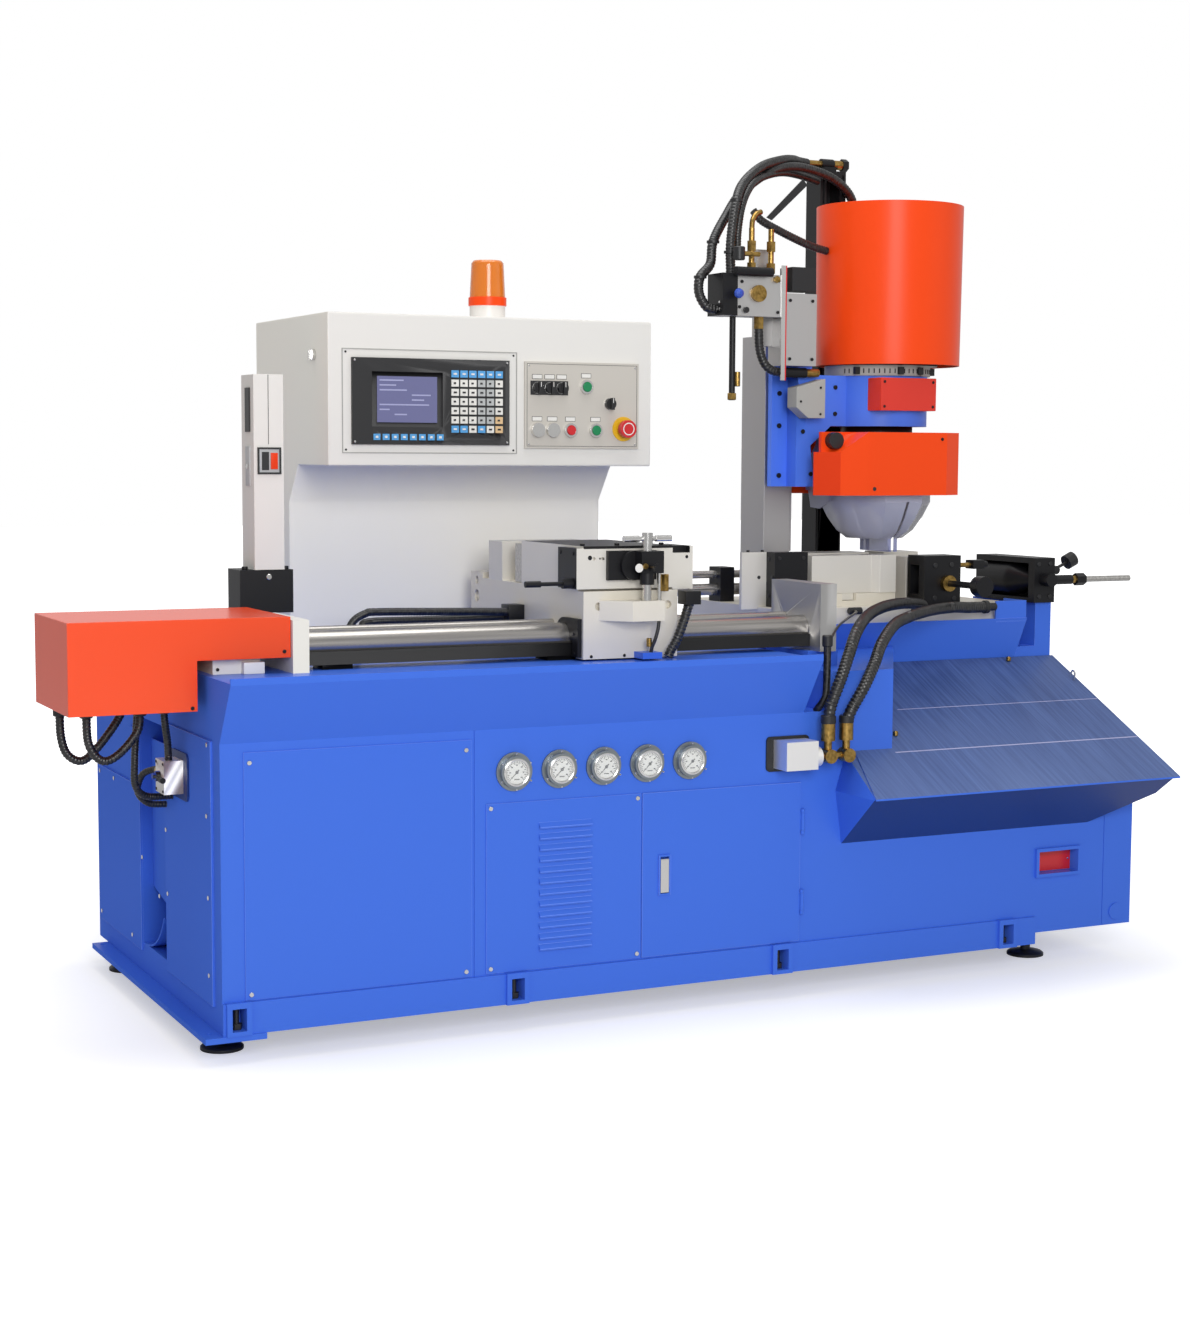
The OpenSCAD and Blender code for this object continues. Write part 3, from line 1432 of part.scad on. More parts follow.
module beacon_base() {
    color(cream) rod_z(beacon_z, beacon_z + 32, beacon_x, beacon_y, 84);
    color(orange) rod_z(beacon_z + 32, beacon_z + 52, beacon_x, beacon_y, 90);
    color(black) rod_z(beacon_z + 52, beacon_z + 62, beacon_x, beacon_y, 30);
}

module beacon_lens() {
    h = 86;
    color("orange", 0.7) translate([beacon_x, beacon_y, beacon_z + 52]) rotate_extrude() polygon([
        [42, 0], [38, h - 6], [33, h], [0, h], [0, h - 3], [32, h - 3], [35, h - 7], [39, 0]
    ]);
}

module beacon_mirror() {
    color(steel) {
        rod_z(beacon_z + 62.3, beacon_z + 66, beacon_x, beacon_y, 44);
        difference() {
            rod_z(beacon_z + 66, beacon_z + 120, beacon_x, beacon_y, 44);
            block(beacon_x - 23, beacon_x + 23, beacon_y - 23, beacon_y + 12, beacon_z + 66, beacon_z + 121);
        }
    }
}

module post() {
    x = [support_x + 14, support_x + 83];
    y = [console_y - 20, console_y + 70];
    yoke_z = [tray_z + 94, tray_z + 190];
    color(cream) {
        block(x[0], x[1], y[0], y[1], yoke_z[1], console_z + 200);
        rod_z(tray_z, yoke_z[0], (x[0] + x[1]) / 2, (y[0] + y[1]) / 2, 58);
    }
    color(black) {
        block(x[0] - 34, x[1] + 19, y[0], y[1], yoke_z[0], yoke_z[1]);
        block(x[0] - 34, x[0] - 10, y[0] + 20, y[1] - 20, tray_z, yoke_z[0]);
    }
}

// The model is moved so that its origin is at the middle of its bounding box, on the floor
origin_x = (cover_x[0] + base_len + 218) / 2;
origin_y = (base_depth - chute_out) / 2;

module placed() {
    translate([-origin_x, -origin_y, 0]) children();
}

placed() base_frame();
placed() raised_table();
placed() levelling_feet();
placed() cover_sheets();
placed() service_door();
placed() door_latch();
placed() pressure_gauges();
placed() chute();
placed() union_block();
placed() fixed_hoses();
placed() feed_cover();
placed() feed_motor();
placed() valve_block();
placed() valve_lever();
placed() feeder_rail();
placed() guide_shaft();
placed() feed_screw();
placed() feed_carriage();
placed() guide_bars();
placed() feed_vise();
placed() feed_jaw();
placed() feed_cylinder();
placed() clamp_screw();
placed() clamp_lever();
placed() carriage_hoses();
placed() bed_plate();
placed() fixed_jaws();
placed() infeed_jaw();
placed() outfeed_jaw();
placed() clamp_blocks();
placed() clamp_knob();
placed() stalk_knob();
placed() column();
placed() mast();
placed() saw_arm();
placed() saw_motor();
placed() motor_cover();
placed() head_boxes();
placed() manifold();
placed() head_hoses();
placed() blade_guard();
placed() guard_knob();
placed() hood();
placed() saw_blade();
placed() console();
placed() cnc_unit();
placed() operator_plate();
placed() emergency_stop();
placed() push_button_1();
placed() push_button_2();
placed() push_button_3();
placed() selector_1();
placed() selector_2();
placed() selector_3();
placed() selector_4();
placed() key_lock();
placed() beacon_base();
placed() beacon_lens();
placed() beacon_mirror();
placed() post();
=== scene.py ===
"""Looks of a CNC cold saw, built as a Blender add-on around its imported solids.

Every length is in millimetres from the base's front left corner on the floor, X along the bar,
Y to the back and Z up, and is turned into the frame's metres in one place.
"""

import json
import math

import bmesh
import bpy
from mathutils import Matrix, Quaternion, Vector


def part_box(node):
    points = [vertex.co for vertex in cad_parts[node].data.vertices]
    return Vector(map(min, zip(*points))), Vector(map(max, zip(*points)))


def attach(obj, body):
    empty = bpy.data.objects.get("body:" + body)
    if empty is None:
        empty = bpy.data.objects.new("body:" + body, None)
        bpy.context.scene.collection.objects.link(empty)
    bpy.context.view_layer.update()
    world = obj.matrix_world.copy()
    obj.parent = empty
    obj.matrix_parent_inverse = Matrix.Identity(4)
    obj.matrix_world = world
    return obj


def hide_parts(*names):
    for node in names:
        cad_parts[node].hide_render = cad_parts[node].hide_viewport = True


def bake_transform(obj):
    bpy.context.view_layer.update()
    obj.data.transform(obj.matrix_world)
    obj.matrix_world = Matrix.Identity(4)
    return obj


bl_info = {
    "name": "CNC cold saw",
    "version": (1, 0, 0),
    "blender": (4, 5, 0),
    "location": "3D View > Sidebar > Cold saw",
    "description": "Dresses the solids of a cold saw with its finishes, fittings, hoses and stage",
    "category": "Add Mesh",
}

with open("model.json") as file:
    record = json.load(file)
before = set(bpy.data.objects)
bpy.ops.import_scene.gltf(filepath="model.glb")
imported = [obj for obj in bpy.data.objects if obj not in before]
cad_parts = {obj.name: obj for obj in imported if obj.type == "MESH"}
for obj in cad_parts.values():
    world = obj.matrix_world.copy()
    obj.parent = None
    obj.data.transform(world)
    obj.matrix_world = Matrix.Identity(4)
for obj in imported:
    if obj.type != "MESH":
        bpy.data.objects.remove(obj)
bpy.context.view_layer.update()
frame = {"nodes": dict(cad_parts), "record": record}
MM = 0.001

# The base's front left corner, from the box of the base with its flange and its flared tray
FLANGE_OUT = 38
BASE_DEPTH = 1030
base_low, base_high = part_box("base_frame")
CORNER = Vector((base_low.x + FLANGE_OUT * MM, base_high.y - BASE_DEPTH * MM, 0.0))

BODY_OF = {
    node: body
    for body, nodes in frame["record"]["behaviour"]["bodies"].items()
    for node in nodes
}


def extent(node):
    """The box of a CAD node in millimetres from the corner: x0, x1, y0, y1, z0, z1."""
    low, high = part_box(node)
    low, high = (low - CORNER) / MM, (high - CORNER) / MM
    return low.x, high.x, low.y, high.y, low.z, high.z


# ---------------------------------------------------------------- finishes


def linear(hex_colour, alpha=1.0):
    """An sRGB hex colour as the linear colour that a shader takes."""
    parts = [int(hex_colour[i : i + 2], 16) / 255 for i in (1, 3, 5)]
    parts = [c / 12.92 if c <= 0.04045 else ((c + 0.055) / 1.055) ** 2.4 for c in parts]
    return (*parts, alpha)


def to_hex(colour):
    """A colour property, kept in sRGB, as a hex colour."""
    return "#" + "".join(f"{round(c * 255):02x}" for c in colour[:3])


def add_node(tree, kind, links=None, **settings):
    """Adds one node: settings set its properties or inputs, links join outputs to its inputs."""
    node = tree.nodes.new(kind)
    for name, value in settings.items():
        if hasattr(node, name):
            setattr(node, name, value)
        else:
            node.inputs[name.replace("_", " ")].default_value = value
    for name, source in (links or {}).items():
        tree.links.new(source, node.inputs[name])
    return node


def new_finish(name, colour, roughness, metallic=0.0, alpha=1.0, **sockets):
    """A material with one principled shader, and its tree and shader."""
    made = bpy.data.materials.new(name)
    made.use_nodes = True
    made.diffuse_color = linear(colour, alpha)
    shader = made.node_tree.nodes["Principled BSDF"]
    shader.inputs["Base Color"].default_value = linear(colour)
    shader.inputs["Roughness"].default_value = roughness
    shader.inputs["Metallic"].default_value = metallic
    shader.inputs["Alpha"].default_value = alpha
    for socket, value in sockets.items():
        shader.inputs[socket.replace("_", " ")].default_value = value
    return made, made.node_tree, shader


def noise_in_mm(tree, size_mm, stretch, detail):
    """Noise on the object's own coordinates; size_mm is the width of one patch."""
    place = add_node(tree, "ShaderNodeTexCoord")
    scaled = add_node(tree, "ShaderNodeMapping", {"Vector": place.outputs["Object"]}, Scale=stretch)
    return add_node(
        tree, "ShaderNodeTexNoise", {"Vector": scaled.outputs[0]}, Scale=0.5 / (size_mm * MM), Detail=detail
    )


def grain(tree, shader, size_mm, depth_mm, stretch=(1, 1, 1)):
    """A fine relief on a finish; size_mm is the width of one bump."""
    noise = noise_in_mm(tree, size_mm, stretch, 2.0)
    bump = add_node(
        tree, "ShaderNodeBump", {"Height": noise.outputs["Fac"]}, Strength=0.5, Distance=depth_mm * MM
    )
    tree.links.new(bump.outputs["Normal"], shader.inputs["Normal"])


def mottled(tree, shader, dark, light, size_mm, stretch=(1, 1, 1), low=0.35, high=0.65):
    """Varies a finish's colour between two hex colours in patches of size_mm."""
    noise = noise_in_mm(tree, size_mm, stretch, 4.0)
    ramp = add_node(tree, "ShaderNodeValToRGB", {"Fac": noise.outputs["Fac"]})
    ramp.color_ramp.elements[0].position = low
    ramp.color_ramp.elements[0].color = linear(dark)
    ramp.color_ramp.elements[1].position = high
    ramp.color_ramp.elements[1].color = linear(light)
    tree.links.new(ramp.outputs["Color"], shader.inputs["Base Color"])
    return ramp


def sprayed_enamel(name, colour, roughness=0.32, gloss=0.2):
    """Two-pack enamel sprayed on steel sheet: even colour, soft gloss, faint orange peel."""
    made, tree, shader = new_finish(name, colour, roughness, Specular_IOR_Level=gloss)
    grain(tree, shader, 2.2, 0.03)
    return made


def textured_enamel(name, colour):
    """Hammered off-white enamel of the cabinets: fine pebbled relief that kills the gloss."""
    made, tree, shader = new_finish(name, colour, 0.5, Specular_IOR_Level=0.3)
    grain(tree, shader, 1.4, 0.05)
    return made


def ground_steel(name, dark, light, along=(1, 1, 1), roughness=0.3, streak=3.0):
    """Surface-ground steel: satin, with faint streaks along the wheel's path."""
    made, tree, shader = new_finish(name, light, roughness, metallic=0.85)
    mottled(tree, shader, dark, light, streak, along, 0.3, 0.7)
    grain(tree, shader, 1.2, 0.012, along)
    return made


def satin_paint(name, colour, roughness=0.34):
    """Thin satin lacquer on machined faces of the vises: pale, smooth and half glossy."""
    made, tree, shader = new_finish(name, colour, roughness, metallic=0.15, Specular_IOR_Level=0.5)
    grain(tree, shader, 6.0, 0.02)
    return made


def cast_face(name, colour, roughness=0.42):
    """Bead-blasted aluminium: pale grey metal with a silky sheen."""
    made, tree, shader = new_finish(name, colour, roughness, metallic=0.85)
    grain(tree, shader, 0.9, 0.01)
    return made


def black_oxide(name, colour="#131316", roughness=0.4):
    """Blackened machined steel: near black with an oily sheen."""
    made, tree, shader = new_finish(name, colour, roughness, metallic=0.1, Specular_IOR_Level=0.35)
    grain(tree, shader, 1.2, 0.01)
    return made


def moulded(name, colour, roughness=0.4, **sockets):
    """Injection-moulded plastic: even colour and a satin skin."""
    return new_finish(name, colour, roughness, **sockets)[0]


def turned_brass(name, colour):
    """Lathe-turned brass gone olive: dull gold with fine rings."""
    made, tree, shader = new_finish(name, colour, 0.32, metallic=1.0)
    mottled(tree, shader, "#7d6536", colour, 4.0, (1, 1, 1), 0.3, 0.6)
    return made


def wrapped_hose(name):
    """Rubber hose under a clear spiral wrap: near black, with fine pale patches along the coil painted in as glints of
    the wrap.
    """
    made, tree, shader = new_finish(name, "#161617", 0.33, Specular_IOR_Level=0.6)
    # Pale patches in the colour: painted highlights of the clear wrap.
    mottled(tree, shader, "#0e0e10", "#3c3b3a", 3.0, (1, 1, 1), 0.45, 0.8)
    grain(tree, shader, 1.5, 0.15)
    return made


def chute_sheet(name):
    """Rolled sheet of the chute: dark blue paint rubbed in thin lines down the slope by cut bars."""
    made, tree, shader = new_finish(name, "#44598f", 0.4, Specular_IOR_Level=0.2)
    lines = mottled(tree, shader, "#31457a", "#4d659d", 3, (1, 0.03, 0.03), 0.36, 0.74)
    rubbed = noise_in_mm(tree, 260, (1, 0.6, 0.6), 1.0)
    pale = add_node(tree, "ShaderNodeMapRange", {"Value": rubbed.outputs["Fac"]}, To_Max=0.55)
    pale.inputs["From Min"].default_value = 0.4
    pale.inputs["From Max"].default_value = 0.75
    worn = add_node(
        tree,
        "ShaderNodeMixRGB",
        {"Fac": pale.outputs[0], "Color1": lines.outputs["Color"]},
        Color2=linear("#7288b8"),
    )
    tree.links.new(worn.outputs[0], shader.inputs["Base Color"])
    grain(tree, shader, 3.0, 0.02, (1, 0.04, 0.04))
    return made


def smoked_sheet(name, colour, alpha=0.62):
    """Clear plastic sheet or lens: tinted, glossy, seen through in part."""
    return new_finish(name, colour, 0.14, alpha=alpha, Coat_Weight=0.3)[0]


FINISHES = {}


def make_finishes(colours):
    """Makes every finish of the machine once."""
    blue, cream, orange = (to_hex(c) for c in (colours.blue, colours.cream, colours.orange))
    FINISHES.update(
        blue=sprayed_enamel("blue_enamel", blue),
        # A darker copy of the blue: painted shade, for faces of the chute's box that look down and for the plate at the
        # valve block.
        dark_blue=sprayed_enamel("blue_enamel_painted_shade", "#223c7e", 0.4),
        # A copy of the blue without sheen, its colour set to how the left side looks lit: painted light on faces that
        # look left.
        end_blue=moulded("blue_enamel_left_painted_light", "#4a76e6", 0.6, Specular_IOR_Level=0.02),
        # A lighter blue for rounded edges: a painted highlight along them.
        edge_blue=sprayed_enamel("blue_enamel_painted_edge_highlight", "#7292ee", 0.3),
        # The arm's blue is lighter than the base's: painted light against the shade that the guard and manifold cast on
        # it.
        arm_blue=sprayed_enamel("arm_blue_enamel", "#507cee", 0.36),
        cream=textured_enamel("cream_enamel", cream),
        # A lighter cream for the lower cabinet wall: painted light against the shade under the console.
        low_cream=textured_enamel("cabinet_wall_enamel_painted_light", "#fdfaf0"),
        bezel=cast_face("gauge_bezel", "#8a9196", 0.35),
        orange=sprayed_enamel("orange_enamel", orange, 0.32, 0.2),
        cover_orange=sprayed_enamel("feeder_cover_enamel", orange, 0.24, 0.6),
        # A deeper orange: painted shade on side faces of the guard and head boxes, and the own colour of the post's
        # lamp.
        deep_orange=sprayed_enamel("enamel_orange_deep_and_painted_side_shade", "#e83f14", 0.34),
        chute=chute_sheet("rubbed_chute_sheet"),
        satin=satin_paint("satin_vise_face", "#dfdbd2"),
        carriage=satin_paint("satin_carriage_face", "#e3ddcf", 0.4),
        steel=ground_steel("ground_steel", "#a3a19e", "#c6c4c0"),
        shaft=ground_steel("hard_chrome_shaft", "#8d8a86", "#b4b0ab", (0.02, 1, 1), 0.27, 5.0),
        bars=ground_steel("chrome_guide_bar", "#b5b2ae", "#d2cfcb", (0.02, 1, 1), 0.22, 5.0),
        teeth=ground_steel("blade_steel", "#b5b4b2", "#d2d1cf", (1, 1, 1), 0.28, 8.0),
        aluminium=cast_face("blasted_aluminium", "#c0bfbe"),
        die_cast=cast_face("bright_die_casting", "#f4f3f1", 0.48),
        column=cast_face("column_aluminium", "#bbb9ba", 0.38),
        casting=new_finish("grey_iron_paint", "#a5a4a0", 0.5)[0],
        # Blackened steel for black parts, and for three discs painted as the shade inside holes on the feed vise.
        black=black_oxide("black_oxide_steel_and_hole_shade"),
        dark=moulded("black_abs", "#1b1b1d", 0.42),
        brass=turned_brass("turned_brass", "#b08f50"),
        chrome=new_finish("polished_chrome", "#d8d7d5", 0.18, metallic=1.0)[0],
        rubber=wrapped_hose("spiral_wrapped_hose"),
        red=moulded("red_plastic", "#d0262c", 0.3),
        box_red=sprayed_enamel("red_box_enamel", "#db3f33", 0.34),
        green=moulded("green_plastic", "#168552", 0.3),
        yellow=moulded("yellow_plastic", "#e6b81f", 0.4),
        white=moulded("white_plastic", "#e9e7e2", 0.35),
        lamp=moulded("frosted_lamp", "#b4c8ae", 0.25),
        grey_key=moulded("grey_key", "#b9bcbd", 0.5),
        blue_key=moulded("blue_key", "#4aa0e0", 0.5),
        beige_key=moulded("beige_key", "#e3bf8e", 0.5),
        blue_knob=moulded("blue_knob", "#2c4fb4", 0.35),
        enamel_dial=moulded("dial_enamel", "#e9e8e3", 0.5),
        # Near black for dial print and panel lines, and for dark discs painted as the shade inside holes.
        ink=moulded("dial_ink_and_hole_shade", "#232325", 0.6),
        screen=moulded("screen_glass", "#6c6e98", 0.12, Coat_Weight=0.3),
        screen_line=moulded("screen_line", "#a7a9cf", 0.2),
        plate=new_finish("satin_plate", "#cdc8bf", 0.4, metallic=0.2)[0],
        hood=smoked_sheet("smoked_pvc", "#b5b7cc", 0.8),
        clear=smoked_sheet("violet_nozzle", "#8d93c4", 0.74),
        lens=smoked_sheet("amber_lens", "#ee8420", 0.74),
        glass=smoked_sheet("gauge_glass", "#f0f4f4", 0.14),
    )


# ---------------------------------------------------------------- solids and pieces


class Solids:
    """The solids of one piece, in millimetres from the corner."""

    def __init__(self):
        self.bm = bmesh.new()

    def faces(self, points, faces):
        made = [self.bm.verts.new(p) for p in points]
        for face in faces:
            self.bm.faces.new([made[i] for i in face])
        return self

    def block(self, x0, x1, y0, y1, z0, z1):
        points = [(x, y, z) for x in (x0, x1) for y in (y0, y1) for z in (z0, z1)]
        sides = [(0, 1, 3, 2), (4, 6, 7, 5), (0, 4, 5, 1), (2, 3, 7, 6), (0, 2, 6, 4), (1, 5, 7, 3)]
        return self.faces(points, sides)

    def turned(self, axis, centre, profile, sides=32, ring=False):
        """A solid turned round an axis: profile is (place along the axis, radius) from end to end,
        or all the way round the section of a ring."""
        points, walls = [], []
        for along, radius in profile:
            for k in range(sides):
                a = 2 * math.pi * k / sides
                flat = (radius * math.cos(a), radius * math.sin(a))
                p = {"x": (along, *flat), "y": (flat[1], along, flat[0]), "z": (*flat, along)}[axis]
                points.append([c + q for c, q in zip(centre, p)])
        for i in range(len(profile) - 1 + ring):
            j = (i + 1) % len(profile)
            for k in range(sides):
                n = (k + 1) % sides
                walls.append([i * sides + k, i * sides + n, j * sides + n, j * sides + k])
        if ring:
            return self.faces(points, walls)
        last = (len(profile) - 1) * sides
        walls.append(list(range(sides))[::-1])
        walls.append(list(range(last, last + sides)))
        return self.faces(points, walls)

    def rod(self, axis, start, end, a, b, d, sides=32, chamfer=0.0):
        """A round bar; a and b are its centre in the other two axes, in X, Y, Z order."""
        centre = {"x": (0, a, b), "y": (a, 0, b), "z": (a, b, 0)}[axis]
        r = d / 2
        profile = [(start, r), (end, r)]
        if chamfer:
            profile = [
                (start, r - chamfer),
                (start + chamfer, r),
                (end - chamfer, r),
                (end, r - chamfer),
            ]
        return self.turned(axis, centre, profile, sides)

    def prism(self, axis, start, end, outline):
        """An outline in the other two axes, drawn out from start to end."""
        place = {
            "x": lambda u, v, w: (w, u, v),
            "y": lambda u, v, w: (u, w, v),
            "z": lambda u, v, w: (u, v, w),
        }[axis]
        n = len(outline)
        points = [place(u, v, w) for w in (start, end) for u, v in outline]
        walls = [[i, (i + 1) % n, (i + 1) % n + n, i + n] for i in range(n)]
        return self.faces(points, [list(range(n))[::-1], list(range(n, 2 * n)), *walls])

    def tube(self, route, d, sides=12, rib=0.0, pitch=0.0):
        """A hose along a route; rib and pitch give it the rings of a spiral wrap."""
        line = smooth_line(route, pitch / 4 if pitch else max(6.0, d / 2))
        points, walls = [], []
        side = None
        for i, p in enumerate(line):
            ahead = (line[min(i + 1, len(line) - 1)] - line[max(i - 1, 0)]).normalized()
            if side is None:
                side = ahead.orthogonal().normalized()
            side = (side - ahead * side.dot(ahead)).normalized()
            across = ahead.cross(side)
            r = d / 2 - (rib if i % 4 in (1, 2) else 0.0)
            for k in range(sides):
                a = 2 * math.pi * k / sides
                points.append(p + side * (r * math.cos(a)) + across * (r * math.sin(a)))
        for i in range(len(line) - 1):
            for k in range(sides):
                n = (k + 1) % sides
                walls.append([i * sides + k, i * sides + n, (i + 1) * sides + n, (i + 1) * sides + k])
        last = (len(line) - 1) * sides
        walls.append(list(range(sides))[::-1])
        walls.append(list(range(last, last + sides)))
        return self.faces(points, walls)

    def bolt(self, axis, sign, place, d, head=None):
        """A socket-head screw on a face: place is the middle of its seat, sign its way out."""
        x, y, z = place
        tall = head or d * 0.6
        along, a, b = {"x": (x, y, z), "y": (y, x, z), "z": (z, x, y)}[axis]
        self.rod(axis, *sorted((along, along + sign * tall)), a, b, d, 16, d * 0.08)
        return self

    def bolts(self, axis, sign, level, places, d, head=None):
        """Screws on one flat face: level is the face, places are the other two coordinates."""
        for a, b in places:
            spot = {"x": (level, a, b), "y": (a, level, b), "z": (a, b, level)}[axis]
            self.bolt(axis, sign, spot, d, head)
        return self

    def frame(self, x0, x1, z0, z1, y0, y1, w):
        """A thin rectangular border that faces the front."""
        self.block(x0, x1, y0, y1, z0, z0 + w).block(x0, x1, y0, y1, z1 - w, z1)
        return self.block(x0, x0 + w, y0, y1, z0 + w, z1 - w).block(x1 - w, x1, y0, y1, z0 + w, z1 - w)

    def mesh(self, name, edge=0.0):
        """The finished mesh in the frame's metres."""
        bmesh.ops.recalc_face_normals(self.bm, faces=self.bm.faces)
        if edge:
            round_edges(self.bm, edge)
        self.bm.transform(Matrix.Translation(CORNER) @ Matrix.Scale(MM, 4))
        made = bpy.data.meshes.new(name)
        self.bm.to_mesh(made)
        self.bm.free()
        smooth_by_angle(made)
        return made


def smooth_line(route, step):
    """Points about a step apart on a smooth curve through a route."""
    route = [Vector(p) for p in route]
    padded = [2 * route[0] - route[1], *route, 2 * route[-1] - route[-2]]
    line = []
    for i in range(len(route) - 1):
        a, b, c, d = padded[i : i + 4]
        count = max(1, round((c - b).length / step))
        for k in range(count):
            t = k / count
            line.append(
                0.5
                * (
                    2 * b
                    + (c - a) * t
                    + (2 * a - 5 * b + 4 * c - d) * t * t
                    + (3 * b - a - 3 * c + d) * t**3
                )
            )
    line.append(route[-1])
    return line


def smooth_by_angle(mesh, degrees=32):
    mesh.shade_smooth()
    mesh.set_sharp_from_angle(angle=math.radians(degrees))


def round_edges(bm, width, longer=0.5, sharp=38, rim=-1):
    """Rounds every edge that turns more than sharp degrees and is longer than this."""
    edges = [
        e
        for e in bm.edges
        if e.is_manifold and e.calc_face_angle(0) > math.radians(sharp) and e.calc_length() > longer
    ]
    if edges:
        bmesh.ops.bevel(
            bm,
            geom=edges,
            offset=width,
            offset_type="OFFSET",
            segments=2,
            profile=0.6,
            affect="EDGES",
            clamp_overlap=True,
            material=rim,
        )


def piece(name, mesh, finish, body, stands_for=()):
    """One piece of the machine, riding on a CAD body."""
    made = bpy.data.objects.new(name, mesh)
    bpy.context.scene.collection.objects.link(made)
    finishes = [finish] if isinstance(finish, str) else finish
    for key in finishes:
        mesh.materials.append(FINISHES[key])
    if body:
        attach(made, body)
    if stands_for:
        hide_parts(*stands_for)
    return made


def trim(name, solids, finish, body="machine", edge=0.0):
    """A small fitting or mark of the machine."""
    return piece(name, solids.mesh(name, edge), finish, body)


def inside(p, box):
    x0, x1, y0, y1, z0, z1 = box
    return x0 <= p.x <= x1 and y0 <= p.y <= y1 and z0 <= p.z <= z1


def dress(node, finish, edge=1.0, others=(), longer=0.5, rim=None, crease=25):
    """A CAD node with rounded edges. others are (finish, box in mm) for parts of another finish,
    with the way that their faces look where only those are meant. rim is the finish of the edges.
    A crease of 0 leaves every face flat."""
    bm = bmesh.new()
    bm.from_mesh(frame["nodes"][node].data)
    bm.transform(Matrix.Scale(1 / MM, 4) @ Matrix.Translation(-CORNER))
    bmesh.ops.remove_doubles(bm, verts=bm.verts, dist=0.002)
    if edge:
        bmesh.ops.dissolve_limit(
            bm, angle_limit=math.radians(0.6), verts=bm.verts, edges=bm.edges, delimit=set()
        )
    for face in bm.faces:
        middle = face.calc_center_median()
        for index, (_, box, *looks) in enumerate(others):
            if inside(middle, box) and all(face.normal.dot(Vector(way)) > 0.7 for way in looks):
                face.material_index = index + 1
    if edge:
        # The rim finish goes on the rounded edges; the base gives them a lighter blue as a painted highlight.
        round_edges(bm, edge, longer, 38 if crease else 14, len(others) + 1 if rim else -1)
    bmesh.ops.triangulate(bm, faces=[f for f in bm.faces if len(f.verts) > 4])
    bm.transform(Matrix.Translation(CORNER) @ Matrix.Scale(MM, 4))
    mesh = bpy.data.meshes.new(node + "_skin")
    bm.to_mesh(mesh)
    bm.free()
    if crease:
        smooth_by_angle(mesh, crease)
    keys = [finish, *(row[0] for row in others), *([rim] if rim else [])]
    made = piece(node + "_skin", mesh, keys, BODY_OF[node], [node])
    if crease:
        even = made.modifiers.new("even_faces", "WEIGHTED_NORMAL")
        even.keep_sharp = True
        even.weight = 100
    return made


# ---------------------------------------------------------------- settings


class SawColours(bpy.types.PropertyGroup):
    """Paints that an owner would change."""

    blue: bpy.props.FloatVectorProperty(
        name="Base", description="Enamel of the base", subtype="COLOR_GAMMA", default=(0.255, 0.435, 0.86)
    )
    cream: bpy.props.FloatVectorProperty(
        name="Cabinet", description="Enamel of the cabinets", subtype="COLOR_GAMMA", default=(0.9, 0.89, 0.87)
    )
    orange: bpy.props.FloatVectorProperty(
        name="Guards", description="Enamel of the guards", subtype="COLOR_GAMMA", default=(0.965, 0.29, 0.08)
    )


class SawSizes(bpy.types.PropertyGroup):
    """Sizes of the trim that an owner would change."""

    edge: bpy.props.FloatProperty(
        name="Edge rounding", description="Rounding of folded and machined edges, in millimetres", default=1.6
    )
    screw: bpy.props.FloatProperty(
        name="Panel screw", description="Head diameter of the panel screws, in millimetres", default=10.0
    )


def settings():
    return bpy.context.scene.saw_sizes


# ---------------------------------------------------------------- operators

ANYWHERE = (-9999, 9999) * 3
FRONT, LEFT, RIGHT, DOWN = (0, -1, 0), (-1, 0, 0), (1, 0, 0), (0, 0, -1)
CHUTE_TOP_Y, CHUTE_TOP_Z, CHUTE_FALL = 330, 721, 249 / 501


def on_chute(y, lift=0.0):
    """The height of the chute's plate at a depth."""
    return CHUTE_TOP_Z - (CHUTE_TOP_Y - y) * CHUTE_FALL + lift


